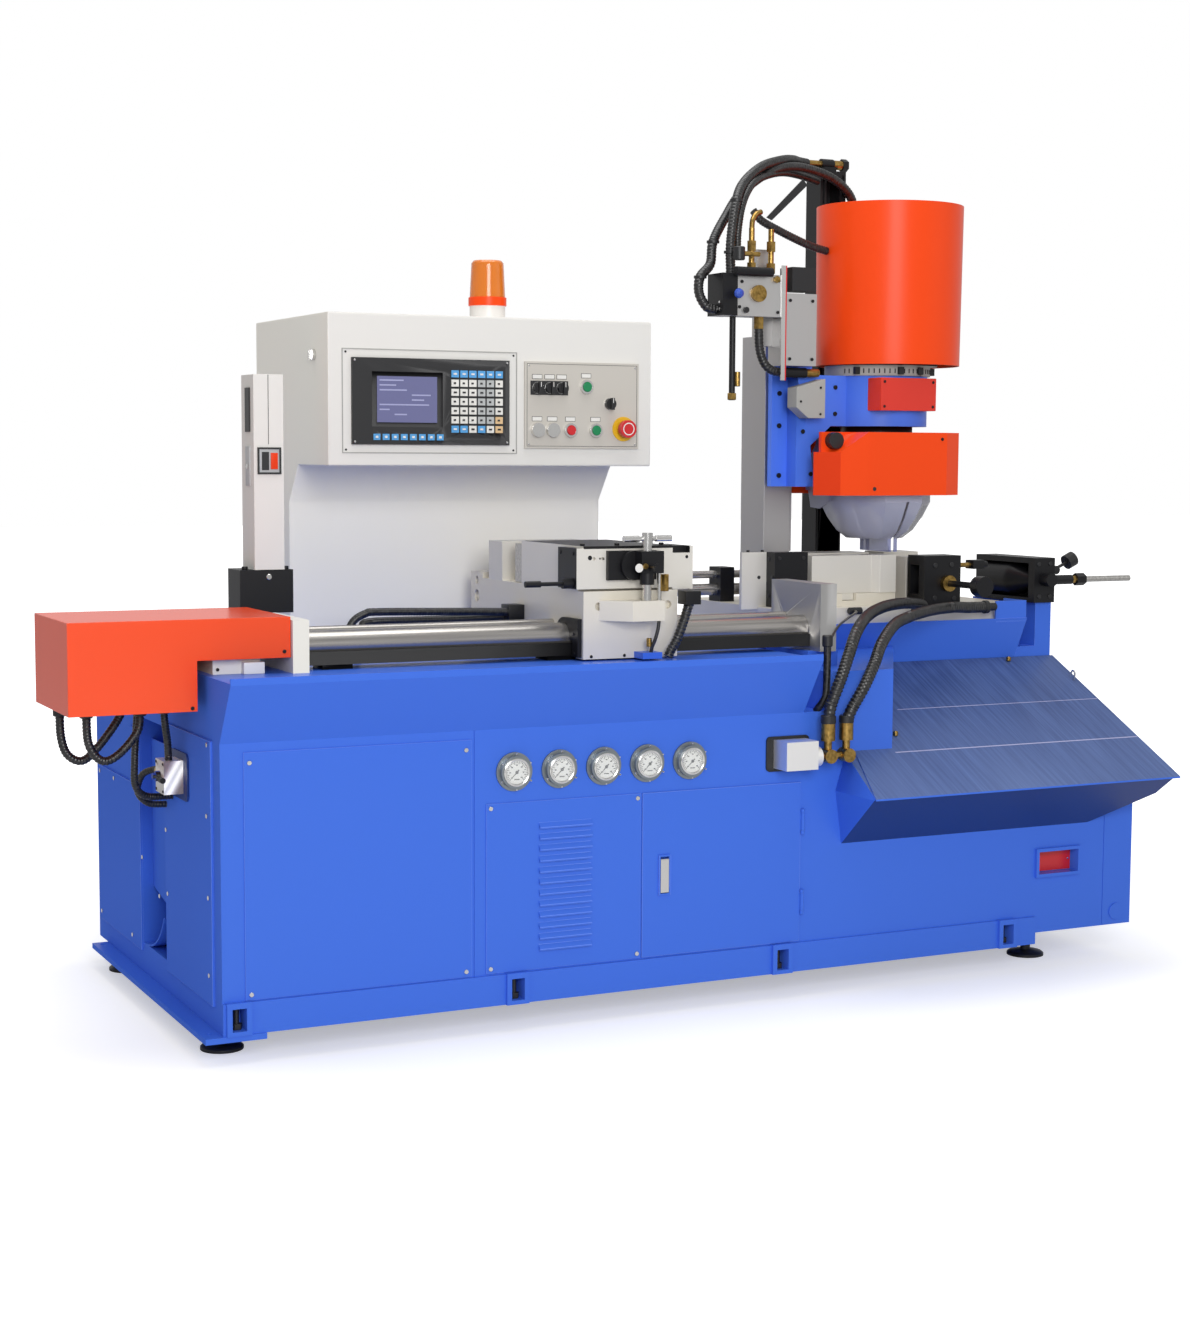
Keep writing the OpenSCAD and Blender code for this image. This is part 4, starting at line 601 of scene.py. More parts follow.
class SAW_OT_base(bpy.types.Operator):
    """Dresses the base with its covers, door, feet, chute and screws"""

    bl_idname = "saw.base"
    bl_label = "Base"

    def execute(self, context):
        edge = settings().edge
        # Faces of the base and covers that look left take that copy of the blue: painted light for that side.
        # Rounded edges of the base, covers, door and table take a lighter blue: a painted highlight.
        dress("base_frame", "blue", 0.9, [("end_blue", ANYWHERE, LEFT)], longer=60, rim="edge_blue", crease=0)
        dress("cover_sheets", "blue", 1.0, [("red", (2010, 2140, 20, 60, 200, 320)), ("end_blue", ANYWHERE, LEFT)], longer=100, rim="edge_blue", crease=0)
        dress("service_door", "blue", 0.9, longer=60, rim="edge_blue", crease=0)
        dress("door_latch", "chrome", 0.4)
        dress("levelling_feet", "dark", 0.6)
        dress("raised_table", "blue", 2.0, longer=40, rim="edge_blue", crease=0)
        # Faces of the chute's box that look down take a darker blue: painted shade under the box.
        dress("chute", "chute", 0, [
            ("blue", (1400, 2400, -172, 5, 340, 600)), ("dark_blue", (1400, 2400, -172, 5, 340, 600), DOWN),
            ("blue", ANYWHERE, LEFT), ("blue", ANYWHERE, FRONT), ("chute", (1400, 2400, -175, 5, 340, 600), (0, -0.445, 0.895)),
        ])
        folds = Solids()
        for y0, wide, x0, x1 in ((-17, 3, 1592, 2296), (139, 1.6, 1700, 2296)):
            y1 = y0 + wide
            folds.prism("x", x0, x1, [
                (y0, on_chute(y0, 0.02)), (y1, on_chute(y1, 0.02)), (y1, on_chute(y1, 0.4)), (y0, on_chute(y0, 0.4)),
            ])
        trim("chute_folds", folds, "screen_line")
        studs = Solids().rod("z", on_chute(309), on_chute(309) + 12, 2148, 309, 12, 16, 2)
        studs.rod("z", on_chute(43), on_chute(43) + 12, 1631, 43, 12, 16, 2)
        trim("chute_studs", studs, "brass")
        hook = Solids().tube([(2282, 218, 664), (2282, 212, 684), (2282, 222, 690), (2282, 230, 678)], 5, 8)
        trim("chute_hook", hook, "chrome")

        screws = Solids()
        size = settings().screw
        screws.bolts("y", -1, -3, [(x, z) for x in (60, 529) for z in (140, 612)], size, 2.5)
        screws.bolts("y", -1, -3, [(x, z) for x in (585, 933) for z in (140, 484)], size, 2.5)
        screws.bolts("x", -1, -5, [(70, 643), (76, 497), (70, 330), (70, 170), (380, 282), (448, 264), (592, 326)], size, 2.5)
        screws.bolts("x", -1, -5, [(844, 470), (690, 130), (980, 130), (980, 470), (388, 420)], size, 2.5)
        screws.bolts("y", -1, 24, [(2024, 256), (2124, 256)], 5, 1.5)
        piece("panel_screws", screws.mesh("panel_screws"), "chrome", "machine")
        return {"FINISHED"}


class SAW_OT_gauges(bpy.types.Operator):
    """Builds the pressure gauges' dials, rims and glasses"""

    bl_idname = "saw.gauges"
    bl_label = "Gauges"

    def execute(self, context):
        x0, x1, y0, y1, z0, z1 = extent("pressure_gauges")
        d = z1 - z0
        count = 5
        pitch = (x1 - x0 - d) / (count - 1)
        z = (z0 + z1) / 2
        dress("pressure_gauges", "bezel", 1.2)
        face = y0 - 0.4
        rims, dials, ink, glass, screws = Solids(), Solids(), Solids(), Solids(), Solids()
        for i in range(count):
            x = x0 + d / 2 + i * pitch
            dial = d / 2 - 16
            dials.rod("y", face, y0 + 1, x, z, 2 * dial - 1)
            rims.turned("y", (x, 0, z), [
                (y0 + 1, dial), (face - 2.6, dial), (face - 3.4, dial + 2), (face - 2.6, dial + 4.4), (y0 + 1, dial + 5),
            ], 48, ring=True)
            glass.rod("y", face - 1.8, face - 1.2, x, z, 2 * dial)
            for k in range(28):
                a = math.radians(225 - 270 * k / 27)
                r = dial - (8 if k % 3 == 0 else 5)
                ink.prism("y", face - 0.3, face, [
                    (x + math.cos(a) * q + math.sin(a) * s, z + math.sin(a) * q - math.cos(a) * s)
                    for q, s in ((r, -0.6), (r, 0.6), (dial - 1.6, 0.6), (dial - 1.6, -0.6))
                ])
            for k in range(7):
                a = math.radians(225 - 270 * k / 6)
                u, v = x + math.cos(a) * (dial - 10), z + math.sin(a) * (dial - 10)
                ink.block(u - 2, u + 2, face - 0.25, face, v - 1.2, v + 1.2)
            needle = math.radians(225)
            ink.prism("y", face - 0.8, face - 0.4, [
                (x + math.cos(needle) * q + math.sin(needle) * s, z + math.sin(needle) * q - math.cos(needle) * s)
                for q, s in ((-7, -1.4), (-7, 1.4), (dial - 7, 0.3), (dial - 7, -0.3))
            ])
            ink.rod("y", face - 1.1, face, x, z, 7, 16)
            ink.block(x - 6, x + 6, face - 0.25, face, z - 16, z - 14)
            screws.bolts("y", -1, y0 + 2, [
                (x + (d / 2 - 3) * math.cos(math.radians(90 + 120 * k)), z + (d / 2 - 3) * math.sin(math.radians(90 + 120 * k)))
                for k in range(3)
            ], 4.2, 3)
            screws.bolts("y", -1, y0, [
                (x + (d / 2 - 4) * math.cos(math.radians(30 + 60 * k)), z + (d / 2 - 4) * math.sin(math.radians(30 + 60 * k)))
                for k in range(6)
            ], 3.4, 1)
        trim("gauge_dials", dials, "enamel_dial")
        trim("gauge_rims", rims, "chrome")
        trim("gauge_marks", ink, "ink")
        trim("gauge_glasses", glass, "glass")
        trim("gauge_screws", screws, "chrome")
        return {"FINISHED"}


class SAW_OT_feeder(bpy.types.Operator):
    """Dresses the bar feeder: cover, shaft, carriage and its vise"""

    bl_idname = "saw.feeder"
    bl_label = "Bar feeder"

    def execute(self, context):
        edge = settings().edge
        dress("feed_cover", "cover_orange", 2.2)
        dress("feed_motor", "black", 0.6)
        dress("feeder_rail", "black", 1.0, [
            ("cream", (0, 213, 0, 400, 700, 1000)), ("aluminium", (1437, 1500, 0, 400, 700, 1000)),
        ])
        dress("guide_shaft", "shaft", 0.6, [("dark", (211.8, 222.2, 0, 400, 0, 1000))])
        dress("feed_screw", "shaft", 0.5)
        dress("guide_bars", "bars", 0.8)
        cover = Solids().bolts("y", -1, extent("feed_cover")[2], [(162, 825), (-31, 717)], 8, 2)
        cover.bolts("y", -1, 110, [(30, 790), (110, 790)], 7, 3)
        trim("cover_screws", cover, "black")
        foot = Solids().block(80, 124, 92, 109.6, 780.2, 804)
        trim("cover_foot", foot, "white", edge=1.0)
        collars = Solids()
        for x, y in ((-257, 262), (-130, 262), (-216, 205), (-106, 205), (-86, 300), (-52, 225)):
            collars.rod("z", 692, 709.8, x, y, 27, 24, 2)
        trim("cover_collars", collars, "dark")

        x0, x1, y0, y1, z0, z1 = extent("feed_carriage")
        left, right = x0 + 10, x1 - 8
        dress("feed_carriage", "carriage", edge, [
            ("black", (x0 - 1, left - 0.1, 0, 400, z0 - 9, z1)), ("black", (right + 0.1, x1 + 1, 0, 400, z0 - 9, z1)),
            ("blue", (left + 120, left + 176, y0 - 60, 69.9, z0 - 9, 805)),
        ])
        dress("feed_vise", "satin", 1.0, [
            ("black", (800, left - 0.1, 0, 400, 900, 1100)), ("black", (left - 1, 1110, 0, 400, 1024.1, 1100)),
            ("black", (1095.8, 1110, 0, 400, 900, 1100)), ("black", (1053.2, 1110, 88, 400, 1000, 1100)),
            ("steel", (1053.2, 1095.7, 69, 161, 920, 1013.5)),
        ])
        dress("feed_jaw", "steel", 1.0)
        dress("feed_cylinder", "black", 1.0, [("brass", (940, 962, 5, 13.9, 900, 1100))])
        dress("clamp_screw", "chrome", 0.4)
        dress("clamp_lever", "black", 0.5)
        # The thin plate at the valve block's left takes the darker blue: painted shade.
        dress("valve_block", "die_cast", 0.8, [
            ("dark_blue", (-9.2, -4, 200, 340, 500, 610)), ("brass", (-60, -20, 301, 330, 500, 610)),
        ])
        dress("valve_lever", "blue_knob", 0.5, [("black", (-80, -50, 150, 262, 500, 600))])
        trim("valve_screws", Solids().bolts("x", -1, -50, [(y, z) for y in (241, 294) for z in (526, 584)], 6, 2), "black")

        dark = Solids()
        dark.bolts("x", -1, left - 17, [(152, 1015), (88, 1014)], 9, 2)
        dark.bolts("x", -1, x0, [(68 + 10, 851), (99, 838), (133, 849), (92, 796)], 6, 2)
        # Three black discs on the feed vise's front: painted shade inside its holes.
        dark.rod("y", 69.4, 70.2, 850, 1005, 10, 20).rod("y", 69.4, 70.2, 874, 1003, 4, 12).rod("y", 69.4, 70.2, 883, 1002, 4, 12)
        dark.bolts("y", -1, 70, [(1088, 1004), (854, 790), (935, 790)], 7, 2)
        dark.bolts("z", 1, 1030, [(846, 100), (930, 100), (1040, 100)], 11, 5)
        trim("carriage_screws_and_hole_shade", dark, "black", "carriage")
        pale = Solids().rod("y", 12, 14.2, 941, 984, 19, 24, 0.6)
        trim("cylinder_rim", pale, "white", "carriage")
        brass = Solids().rod("z", 932, 969, 1011, 27, 20, 6, 1).rod("z", 871, 907, 999, 27, 15, 6, 1)
        brass.rod("z", 810, 829, 980, 39, 12, 16, 1)
        trim("clamp_fittings", brass, "brass", "carriage", 0)
        trim("clamp_tube", Solids().rod("z", 907, 972, 999, 30, 10, 16), "chrome", "carriage")
        return {"FINISHED"}


class SAW_OT_vise(bpy.types.Operator):
    """Dresses the bed with the main vise and its clamps"""

    bl_idname = "saw.vise"
    bl_label = "Main vise"

    def execute(self, context):
        dress("bed_plate", "carriage", 1.0, [("black", (1485, 1531, 620, 700, 859, 960))])
        dress("fixed_jaws", "satin", 1.0, [
            ("black", (1508, 1604, 390, 436.5, 850, 1000)), ("satin", (1430, 1545, 435, 449, 850, 1000)),
        ])
        dress("infeed_jaw", "satin", 1.0)
        dress("outfeed_jaw", "satin", 0.8)
        x1 = extent("clamp_blocks")[1]
        dress("clamp_blocks", "black", 1.2, [
            ("brass", (2003.2, 2070, 320, 350, 940, 970)), ("brass", (2331.2, 2342.8, 280, 320, 890, 940)),
            ("steel", (x1 - 146.5, x1 + 1, 280, 320, 890, 940)),
        ])
        dress("clamp_knob", "black", 0.6, [("brass", (1900, 2020, 300, 320.5, 880, 940))])
        dress("stalk_knob", "dark", 1.0)
        sockets = Solids()
        sockets.bolts("y", -1, 320, [(1926, 957), (1975, 958), (1926, 876), (1984, 874)], 13, 2.2)
        sockets.bolts("y", -1, 320, [(2244, 954), (2280, 955), (2247, 872), (2280, 872)], 12, 2.2)
        sockets.bolts("x", -1, 1509, [(424, 975), (408, 930), (424, 885)], 11, 2)
        sockets.bolts("y", -1, 396, [(1522, 978), (1590, 978), (1522, 885), (1590, 885)], 9, 2)
        sockets.bolts("z", 1, 992, [(1500, 442), (1460, 442)], 8, 5)
        trim("vise_screws", sockets, "dark")
        # A dark disc on the fixed jaw's face: painted shade inside a hole.
        trim("guide_hole_shade", Solids().rod("y", 435.4, 436.2, 1488, 930, 9, 20), "ink")
        ram = Solids().turned("y", (1949, 0, 917), [(346, 20), (348, 24), (380, 24), (382, 20)], 32)
        trim("ram_collar", ram, "chrome")
        plug = Solids().block(2040, 2074, 318, 352, 946, 968).rod("x", 2074, 2092, 335, 957, 16, 20, 1)
        trim("guide_bush", plug, "black", edge=1.0)
        return {"FINISHED"}


class SAW_OT_head(bpy.types.Operator):
    """Dresses the column, the mast and the saw head"""

    bl_idname = "saw.head"
    bl_label = "Saw head"

    def execute(self, context):
        edge = settings().edge
        dress("column", "column", 1.0, [("black", (1540, 1640, 500, 650, 1497.2, 1530))])
        dress("mast", "black", 1.0, [
            ("brass", (1770, 1819.8, 700, 730, 1960, 2000)), ("brass", (1856.2, 1881.8, 700, 730, 1960, 2000)),
        ])
        # The arm takes the lighter blue: painted light against the shade on it.
        dress("saw_arm", "arm_blue", edge, [
            ("black", (1760, 1960, 380, 580, 1140, 1299.5)), ("bars", (1815, 1860, 568, 740, 1320, 1400)),
            ("black", (1530, 1601.8, 400, 440, 1414, 1442)), ("brass", (1602.2, 1645, 405, 437.6, 1414, 1442)),
        ], longer=20)
        dress("saw_motor", "casting", 1.0, [("black", (1700, 2060, 300, 660, 1450.5, 1860))], longer=20)
        dress("motor_cover", "orange", 1.0)
        # Faces that look left in one corner of the head boxes take the deeper orange: painted shade on that side.
        dress("head_boxes", "box_red", 2.0, [
            ("casting", (1540, 1660, 380, 450, 1300, 1420)), ("deep_orange", (1700, 1990, 300, 400, 1300, 1430), LEFT),
        ])
        dress("manifold", "aluminium", 1.0, [
            ("black", (1350, 1396.8, 390, 490, 1540, 1670)), ("black", (1380, 1490, 374, 398, 1640, 1680)),
            ("black", (1390, 1420, 415, 445, 1340, 1558)), ("brass", (1440, 1540, 400, 460, 1659.5, 1790)),
            ("brass", (1455, 1495, 408, 442, 1530, 1558.5)), ("brass", (1430, 1480, 391, 399.8, 1590, 1640)),
        ])
        # Faces of the guard that look left or right, and its left chamfer, take the deeper orange: painted shade on its
        # sides.
        dress("blade_guard", "orange", 0, [
            ("deep_orange", ANYWHERE, LEFT), ("deep_orange", (1950, 2010, 300, 700, 1100, 1300), RIGHT),
            ("deep_orange", (1600, 1722, 300, 382, 1100, 1284), (-0.9, -0.4, 0)), ("clear", (1705, 1716, 430, 600, 1130, 1290)),
        ])
        dress("guard_knob", "dark", 1.0)

        screws = Solids()
        screws.bolts("y", -1, 330, [(x, z) for x in (1774, 1916) for z in (1348, 1408)], 7, 2)
        screws.bolts("y", -1, 482, [(1566, 1379), (1567, 1178), (1566, 1300), (1566, 1470)], 12, 5)
        screws.bolts("y", -1, 438, [(1608, 1286), (1632, 1182), (1700, 1330), (1700, 1395)], 11, 4)
        screws.bolts("y", -1, 394, [(1575, 1358), (1631, 1328), (1631, 1392)], 6, 2)
        screws.bolts("y", -1, 315, [(1936, 1269)], 8, 2.5)
        screws.bolts("y", -1, 400, [(1404, 1580), (1410, 1640), (1510, 1570), (1512, 1645)], 8, 3)
        screws.bolts("y", -1, 400, [(1545, 1600), (1608, 1600), (1545, 1460), (1608, 1460)], 8, 3)
        trim("head_screws", screws, "black", "saw_head")
        # A dark disc on the guard's front: painted shade inside a hole.
        trim("guard_hole_shade", Solids().rod("y", 314.4, 315.4, 1680 + 60, 1147, 10, 20), "ink", "saw_head")
        ticks = Solids()
        for k in range(26):
            a = math.radians(200 + 140 * k / 25)
            u, v = 1850 + 132.3 * math.cos(a), 480 + 132.3 * math.sin(a)
            ticks.block(u - 1.2, u + 1.2, v - 0.8, v + 0.8, 1430, 1441)
        for a in (215, 262, 288, 325):
            u, v = 1850 + 134 * math.cos(math.radians(a)), 480 + 134 * math.sin(math.radians(a))
            ticks.block(u - 7, u + 7, v - 5, v + 5, 1427, 1445)
        trim("flange_marks", ticks, "dark", "saw_head")
        pale = Solids()
        pale.bolts("x", -1, 1356, [(410, 1574), (410, 1590), (470, 1574)], 7, 2)
        pale.block(1519, 1530, 396.6, 399.8, 1408, 1682)
        trim("manifold_strip", pale, "chrome", "saw_head")
        trim("strip_edge", Solids().block(1530, 1533.5, 396.8, 399.9, 1408, 1682), "red", "saw_head")
        strap = Solids().prism("y", 431, 436, [(1496, 1798), (1510, 1792), (1608, 1880), (1596, 1894)])
        trim("hose_strap", strap, "dark", "saw_head")
        ties = Solids()
        for x, y, z, across in ((1322, 446, 1650, "z"), (1376, 482, 1738, "z"), (1403, 445, 1712, "z"), (1430, 465, 1838, "z")):
            ties.rod(across, z - 3, z + 3, x, y, 31, 20)
        trim("hose_ties", ties, "dark", "saw_head")
        brass = Solids().rod("x", 1410, 1458, 400, 1706, 12, 16, 1).rod("y", 391, 399, 1504, 1648, 17, 6)
        brass.rod("z", 1392, 1427, 1415, 425, 14, 16, 1).rod("z", 1360, 1376, 1403, 430, 24, 6, 1)
        brass.tube([(1459, 440, 1770), (1462, 442, 1790), (1474, 446, 1806), (1490, 450, 1812)], 13, 12)
        trim("manifold_brass", brass, "brass", "saw_head")
        dark = Solids().rod("z", 1690, 1722, 1402, 400, 28, 24, 2).block(1549, 1613, 398, 456, 1623, 1680)
        dark.rod("y", 392, 400, 1421, 1573, 14, 20, 1)
        trim("manifold_blocks", dark, "dark", "saw_head", 0)
        trim("valve_ball", Solids().turned("y", (1389, 0, 1610), [(386, 4), (382, 10), (376, 12), (370, 10), (366, 4)], 24), "blue_knob", "saw_head")
        dot = Solids().rod("y", 372, 376, 1634, 1266, 8, 16, 1)
        trim("guard_mark", dot, "green", "saw_head")
        return {"FINISHED"}


class SAW_OT_blade(bpy.types.Operator):
    """Dresses the toothed blade and the hood round it"""

    bl_idname = "saw.blade"
    bl_label = "Blade and hood"

    def execute(self, context):
        dress("saw_blade", "teeth", 0)
        dress("hood", "hood", 0, [("clear", (1840, 1885, 400, 560, 980, 1024))])
        return {"FINISHED"}


class SAW_OT_console(bpy.types.Operator):
    """Dresses the cabinet, the control unit and the operator's panel"""

    bl_idname = "saw.console"
    bl_label = "Console"

    def execute(self, context):
        # The lower cabinet wall takes the lighter cream: painted light against the shade under the console.
        dress("console", "cream", 4.0, [("low_cream", (404.9, 1221, 700, 1030, 700, 1199))], longer=60)
        x0, x1, _, front, z0, z1 = extent("cnc_unit")
        front -= 8
        key = front - 0.1
        keys_x, keys_z = x0 + 240, z0 + 28
        dress("cnc_unit", "dark", 0.5, [
            ("white", (keys_x - 1, x1, front - 3, key, keys_z - 1, z1)),
            ("grey_key", (keys_x + 65, keys_x + 108, front - 3, key, keys_z + 20, z1)),
            ("blue_key", (keys_x - 1, x1, front - 3, key, keys_z + 125, z1)),
            ("blue_key", (keys_x - 1, keys_x + 41, front - 3, key, keys_z - 1, keys_z + 17)),
            ("blue_key", (keys_x + 65, keys_x + 85, front - 3, key, keys_z - 1, keys_z + 17)),
            ("beige_key", (keys_x + 109, x1, front - 3, key, keys_z - 1, keys_z + 38)),
            ("blue_key", (x0 + 49, x0 + 237, front - 3, key, z0 + 9, z0 + 25)),
        ])
        screen = Solids().prism("y", front + 2.4, front + 2.9, [
            (x0 + 60, z0 + 50), (x0 + 206, z0 + 50), (x0 + 206, z1 - 41), (x0 + 60, z1 - 41),
        ])
        trim("screen", screen, "screen")
        bright = Solids()
        for k, (start, long) in enumerate(((4, 58), (4, 40), (4, 66), (82, 46), (82, 30), (4, 120), (4, 24), (40, 30))):
            z = z1 - 50 - 11 * k
            bright.block(x0 + 62 + start, x0 + 62 + start + long, front + 2.0, front + 2.4, z - 1.6, z + 1.6)
        trim("screen_marks", bright, "screen_line")
        marks, pale = Solids(), Solids()
        for i in range(6):
            for k in range(7):
                x, z = keys_x + 22 * i, keys_z + 21 * k
                on_blue = k == 6 or (k == 0 and i in (0, 1, 3))
                (pale if on_blue else marks).block(x + 5, x + 13 - 2 * (k % 2), front - 2.3, front - 2, z + 6, z + 10)
        for i in range(8):
            pale.block(x0 + 55 + 22 * i, x0 + 61 + 22 * i, front - 2.3, front - 2, z0 + 14.5, z0 + 19.5)
        trim("key_marks", marks, "ink")
        trim("key_marks_pale", pale, "white")
        trim("unit_screws", Solids().bolts("y", -1, front, [(x, z) for x in (x0 + 6, x1 - 6) for z in (z0 + 6, z1 - 6)], 5, 1), "chrome")
        border = Solids().frame(x0 - 22, x1 + 22, z0 - 20, z1 + 20, 498.6, 500.2, 2.2)
        trim("unit_frame", border, "casting")
        trim("frame_screws", Solids().bolts("y", -1, 500, [(x, z) for x in (x0 - 13, x1 + 13) for z in (z0 - 12, z1 + 12)], 5, 1.4), "dark")

        x0, x1, _, _, z0, z1 = extent("operator_plate")
        selectors = [extent(f"selector_{i + 1}") for i in range(4)]
        buttons = [extent(f"push_button_{i + 1}") for i in range(3)]
        stop = extent("emergency_stop")
        rows = [("yellow", (stop[0] - 10, stop[1] + 10, 480, 493.9, stop[4] - 10, stop[5] + 10))]
        middle = [((b[0] + b[1]) / 2, (b[4] + b[5]) / 2) for b in buttons]
        turned = [((b[0] + b[1]) / 2, (b[4] + b[5]) / 2) for b in selectors]
        lamps = [(917, 1284), (956, 1284)]
        rows += [("chrome", (x - 19, x + 19, 480, 493.9, z - 19, z + 19)) for x, z in middle + turned + lamps]
        dress("operator_plate", "plate", 0.5, rows)
        for node, finish in (("push_button_1", "green"), ("push_button_2", "red"), ("push_button_3", "green"), ("emergency_stop", "red")):
            dress(node, finish, 1.2)
        for i in range(4):
            dress(f"selector_{i + 1}", "dark", 0.8)
        dress("key_lock", "chrome", 0.5)
        labels, edges = Solids(), Solids()
        edges.frame(x0 + 5, x1 - 5, z0 + 5, z1 - 5, 493.7, 494, 0.9)
        high = max(z for _, z in turned)
        for x, z in turned[:3] + [p for p in middle if p[1] > high - 60] + [(x, z) for x, z in lamps + middle if z < high - 60]:
            edges.block(x - 13, x + 13, 493.5, 494, z + 20.5, z + 31.5)
            labels.block(x - 12, x + 12, 493.2, 493.5, z + 21.5, z + 30.5)
        edges.block(turned[0][0] - 17, turned[2][0] + 17, 493.4, 494, high - 16.5, high + 16.5)
        trim("panel_lines", edges, "ink")
        trim("panel_labels", labels, "white")
        for name, (x, z), finish in (("feed_lamp", lamps[0], "lamp"), ("oil_lamp", lamps[1], "grey_key")):
            trim(name, Solids().turned("y", (x, 0, z), [(493, 11.5), (487, 11.5), (484.5, 9.5), (483.6, 5)], 32), finish)
        handles = Solids()
        for x0_, x1_, y0_, _, z0_, z1_ in selectors:
            x, z = (x0_ + x1_) / 2, (z0_ + z1_) / 2
            handles.block(x - 0.8, x + 0.8, y0_ - 0.3, y0_, z + 2, z1_ - 1)
        trim("selector_lines", handles, "white")
        trim("plate_screws", Solids().bolts("y", -1, 494, [(x, z) for x in (x0 + 10, x1 - 10) for z in (z0 + 10, z1 - 10)], 5, 1.2), "chrome")
        trim("stop_ring", Solids().turned("y", (stop[0] / 2 + stop[1] / 2, 0, stop[4] / 2 + stop[5] / 2), [
            (stop[2] - 0.2, 12.5), (stop[2] - 0.5, 13), (stop[2] - 0.5, 14.5), (stop[2] - 0.2, 15),
        ], 32, ring=True), "white")

        dress("post", "cream", 2.0, [
            ("black", (191, 225.9, 470, 580, 770, 969)), ("black", (190, 320, 470, 580, 873, 970.2)),
            ("cream", (231, 290, 480.2, 569.8, 770, 873.5)),
        ])
        dark = Solids().block(222.6, 226.2, 503, 533, 1274, 1371)
        dark.frame(226 + 8, 288, 1181, 1240, 476.4, 480.2, 4)
        dark.block(244, 260, 477, 480.2, 1190, 1230)
        dark.block(259.2, 260.4, 479.4, 480.2, 1247, 1399)
        trim("post_switch", dark, "dark", edge=0)
        trim("post_plate", Solids().block(234, 288, 478.8, 480.3, 1181, 1240).block(223, 226.2, 503, 533, 1155, 1242), "grey_key", edge=0.6)
        trim("post_light", Solids().block(264, 280, 475.8, 480.2, 1192, 1228), "deep_orange", edge=1.0)
        silver = Solids().bolts("x", -1, 223, [(518, 1198)], 12, 2).bolts("y", -1, 479.2, [(258, 954)], 13, 3)
        trim("post_screws", silver, "chrome")
        trim("yoke_faces", Solids().block(192, 314, 479.2, 480, 874, 970).block(192, 314, 570, 570.8, 874, 970), "black")
        trim("yoke_screws", Solids().bolts("z", 1, 970, [(209, 500), (303, 500)], 14, 7), "black")
        return {"FINISHED"}


class SAW_OT_beacon(bpy.types.Operator):
    """Dresses the signal beacon on the console"""

    bl_idname = "saw.beacon"
    bl_label = "Beacon"

    def execute(self, context):
        x0, x1, y0, y1, z0, z1 = extent("beacon_base")
        dress("beacon_base", "white", 1.0, [("orange", (x0 - 1, x1 + 1, y0 - 1, y1 + 1, z0 + 31.9, z1 + 5))])
        dress("beacon_mirror", "chrome", 0)
        dress("beacon_lens", "lens", 0)
        return {"FINISHED"}


# Name, diameter, depth and pitch of the wrap, and route of every hose, by the piece that carries it
STILL_HOSES = (
    ("left_loop", 18, 0.8, 7, [(-257, 262, 709.5), (-255, 262, 650), (-242, 262, 612), (-212, 262, 598),
        (-178, 262, 626), (-136, 262, 682), (-130, 262, 709.5)]),
    ("right_loop", 18, 0.8, 7, [(-216, 205, 709.5), (-212, 205, 640), (-186, 205, 604), (-152, 205, 614),
        (-112, 205, 660), (-106, 205, 709.5)]),
    ("left_drop", 16, 0.8, 6, [(-86, 300, 709.5), (-90, 302, 650), (-92, 310, 580), (-88, 320, 530),
        (-62, 330, 505), (-5.2, 336, 502)]),
    ("valve_drop", 16, 0.8, 6, [(-52, 225, 709.5), (-48, 228, 670), (-40, 240, 630), (-36, 250, 600),
        (-34, 255, 590.2)]),
    ("valve_loop", 15, 0.6, 6, [(-38, 318.2, 560), (-42, 338, 560), (-62, 364, 546), (-68, 382, 508),
        (-44, 387, 481), (-5.2, 387, 476)]),
    ("left_conduit", 28, 1.4, 9, [(1394, -40, 630.2), (1398, -44, 670), (1422, -46, 730), (1455, -25, 780),
        (1498, 10, 829), (1580, 90, 858), (1678, 165, 872), (1790, 240, 872), (1862, 280, 862),
        (1880, 334.8, 845)]),
    ("right_conduit", 28, 1.4, 9, [(1442, -40, 630.2), (1452, -46, 660), (1484, -45, 708),
        (1524, -24, 756), (1566, 10, 799), (1638, 70, 834), (1715, 130, 846), (1820, 190, 856),
        (1921, 240, 858), (2000, 280, 853), (2062, 304, 851)]),
    ("plug_cable", 17, 0, 0, [(1405, -14, 806), (1405, -14, 760), (1404, -14, 700), (1400, -12, 680),
        (1394, 12, 652.2)]),
    ("plug_lead", 6, 0, 0, [(1407, -14, 806.2), (1425, -2, 822), (1480, 60, 838), (1560, 150, 846),
        (1650, 250, 852), (1690, 318, 850)]),
)
CARRIAGE_HOSES = (
    ("upper_supply", 18, 0.5, 6, [(405, 392, 780.2), (409, 392, 824), (423, 392, 856), (452, 392, 873),
        (484, 392, 876), (655, 392, 872), (798, 392, 868)]),
    ("lower_supply", 18, 0.5, 6, [(435, 414, 780.2), (439, 414, 818), (451, 414, 842), (478, 414, 853),
        (655, 414, 853), (798, 414, 855)]),
    ("vise_conduit", 22, 1.2, 8, [(1085, 46, 906), (1079, 46, 892), (1068, 46, 860), (1052, 46, 822),
        (1038, 46, 800), (1031, 46, 786)]),
    ("clamp_hose", 8, 0, 0, [(998, 28, 867.8), (996, 28, 850), (990, 30, 826), (985, 34, 811), (983, 36, 798.2)]),
)
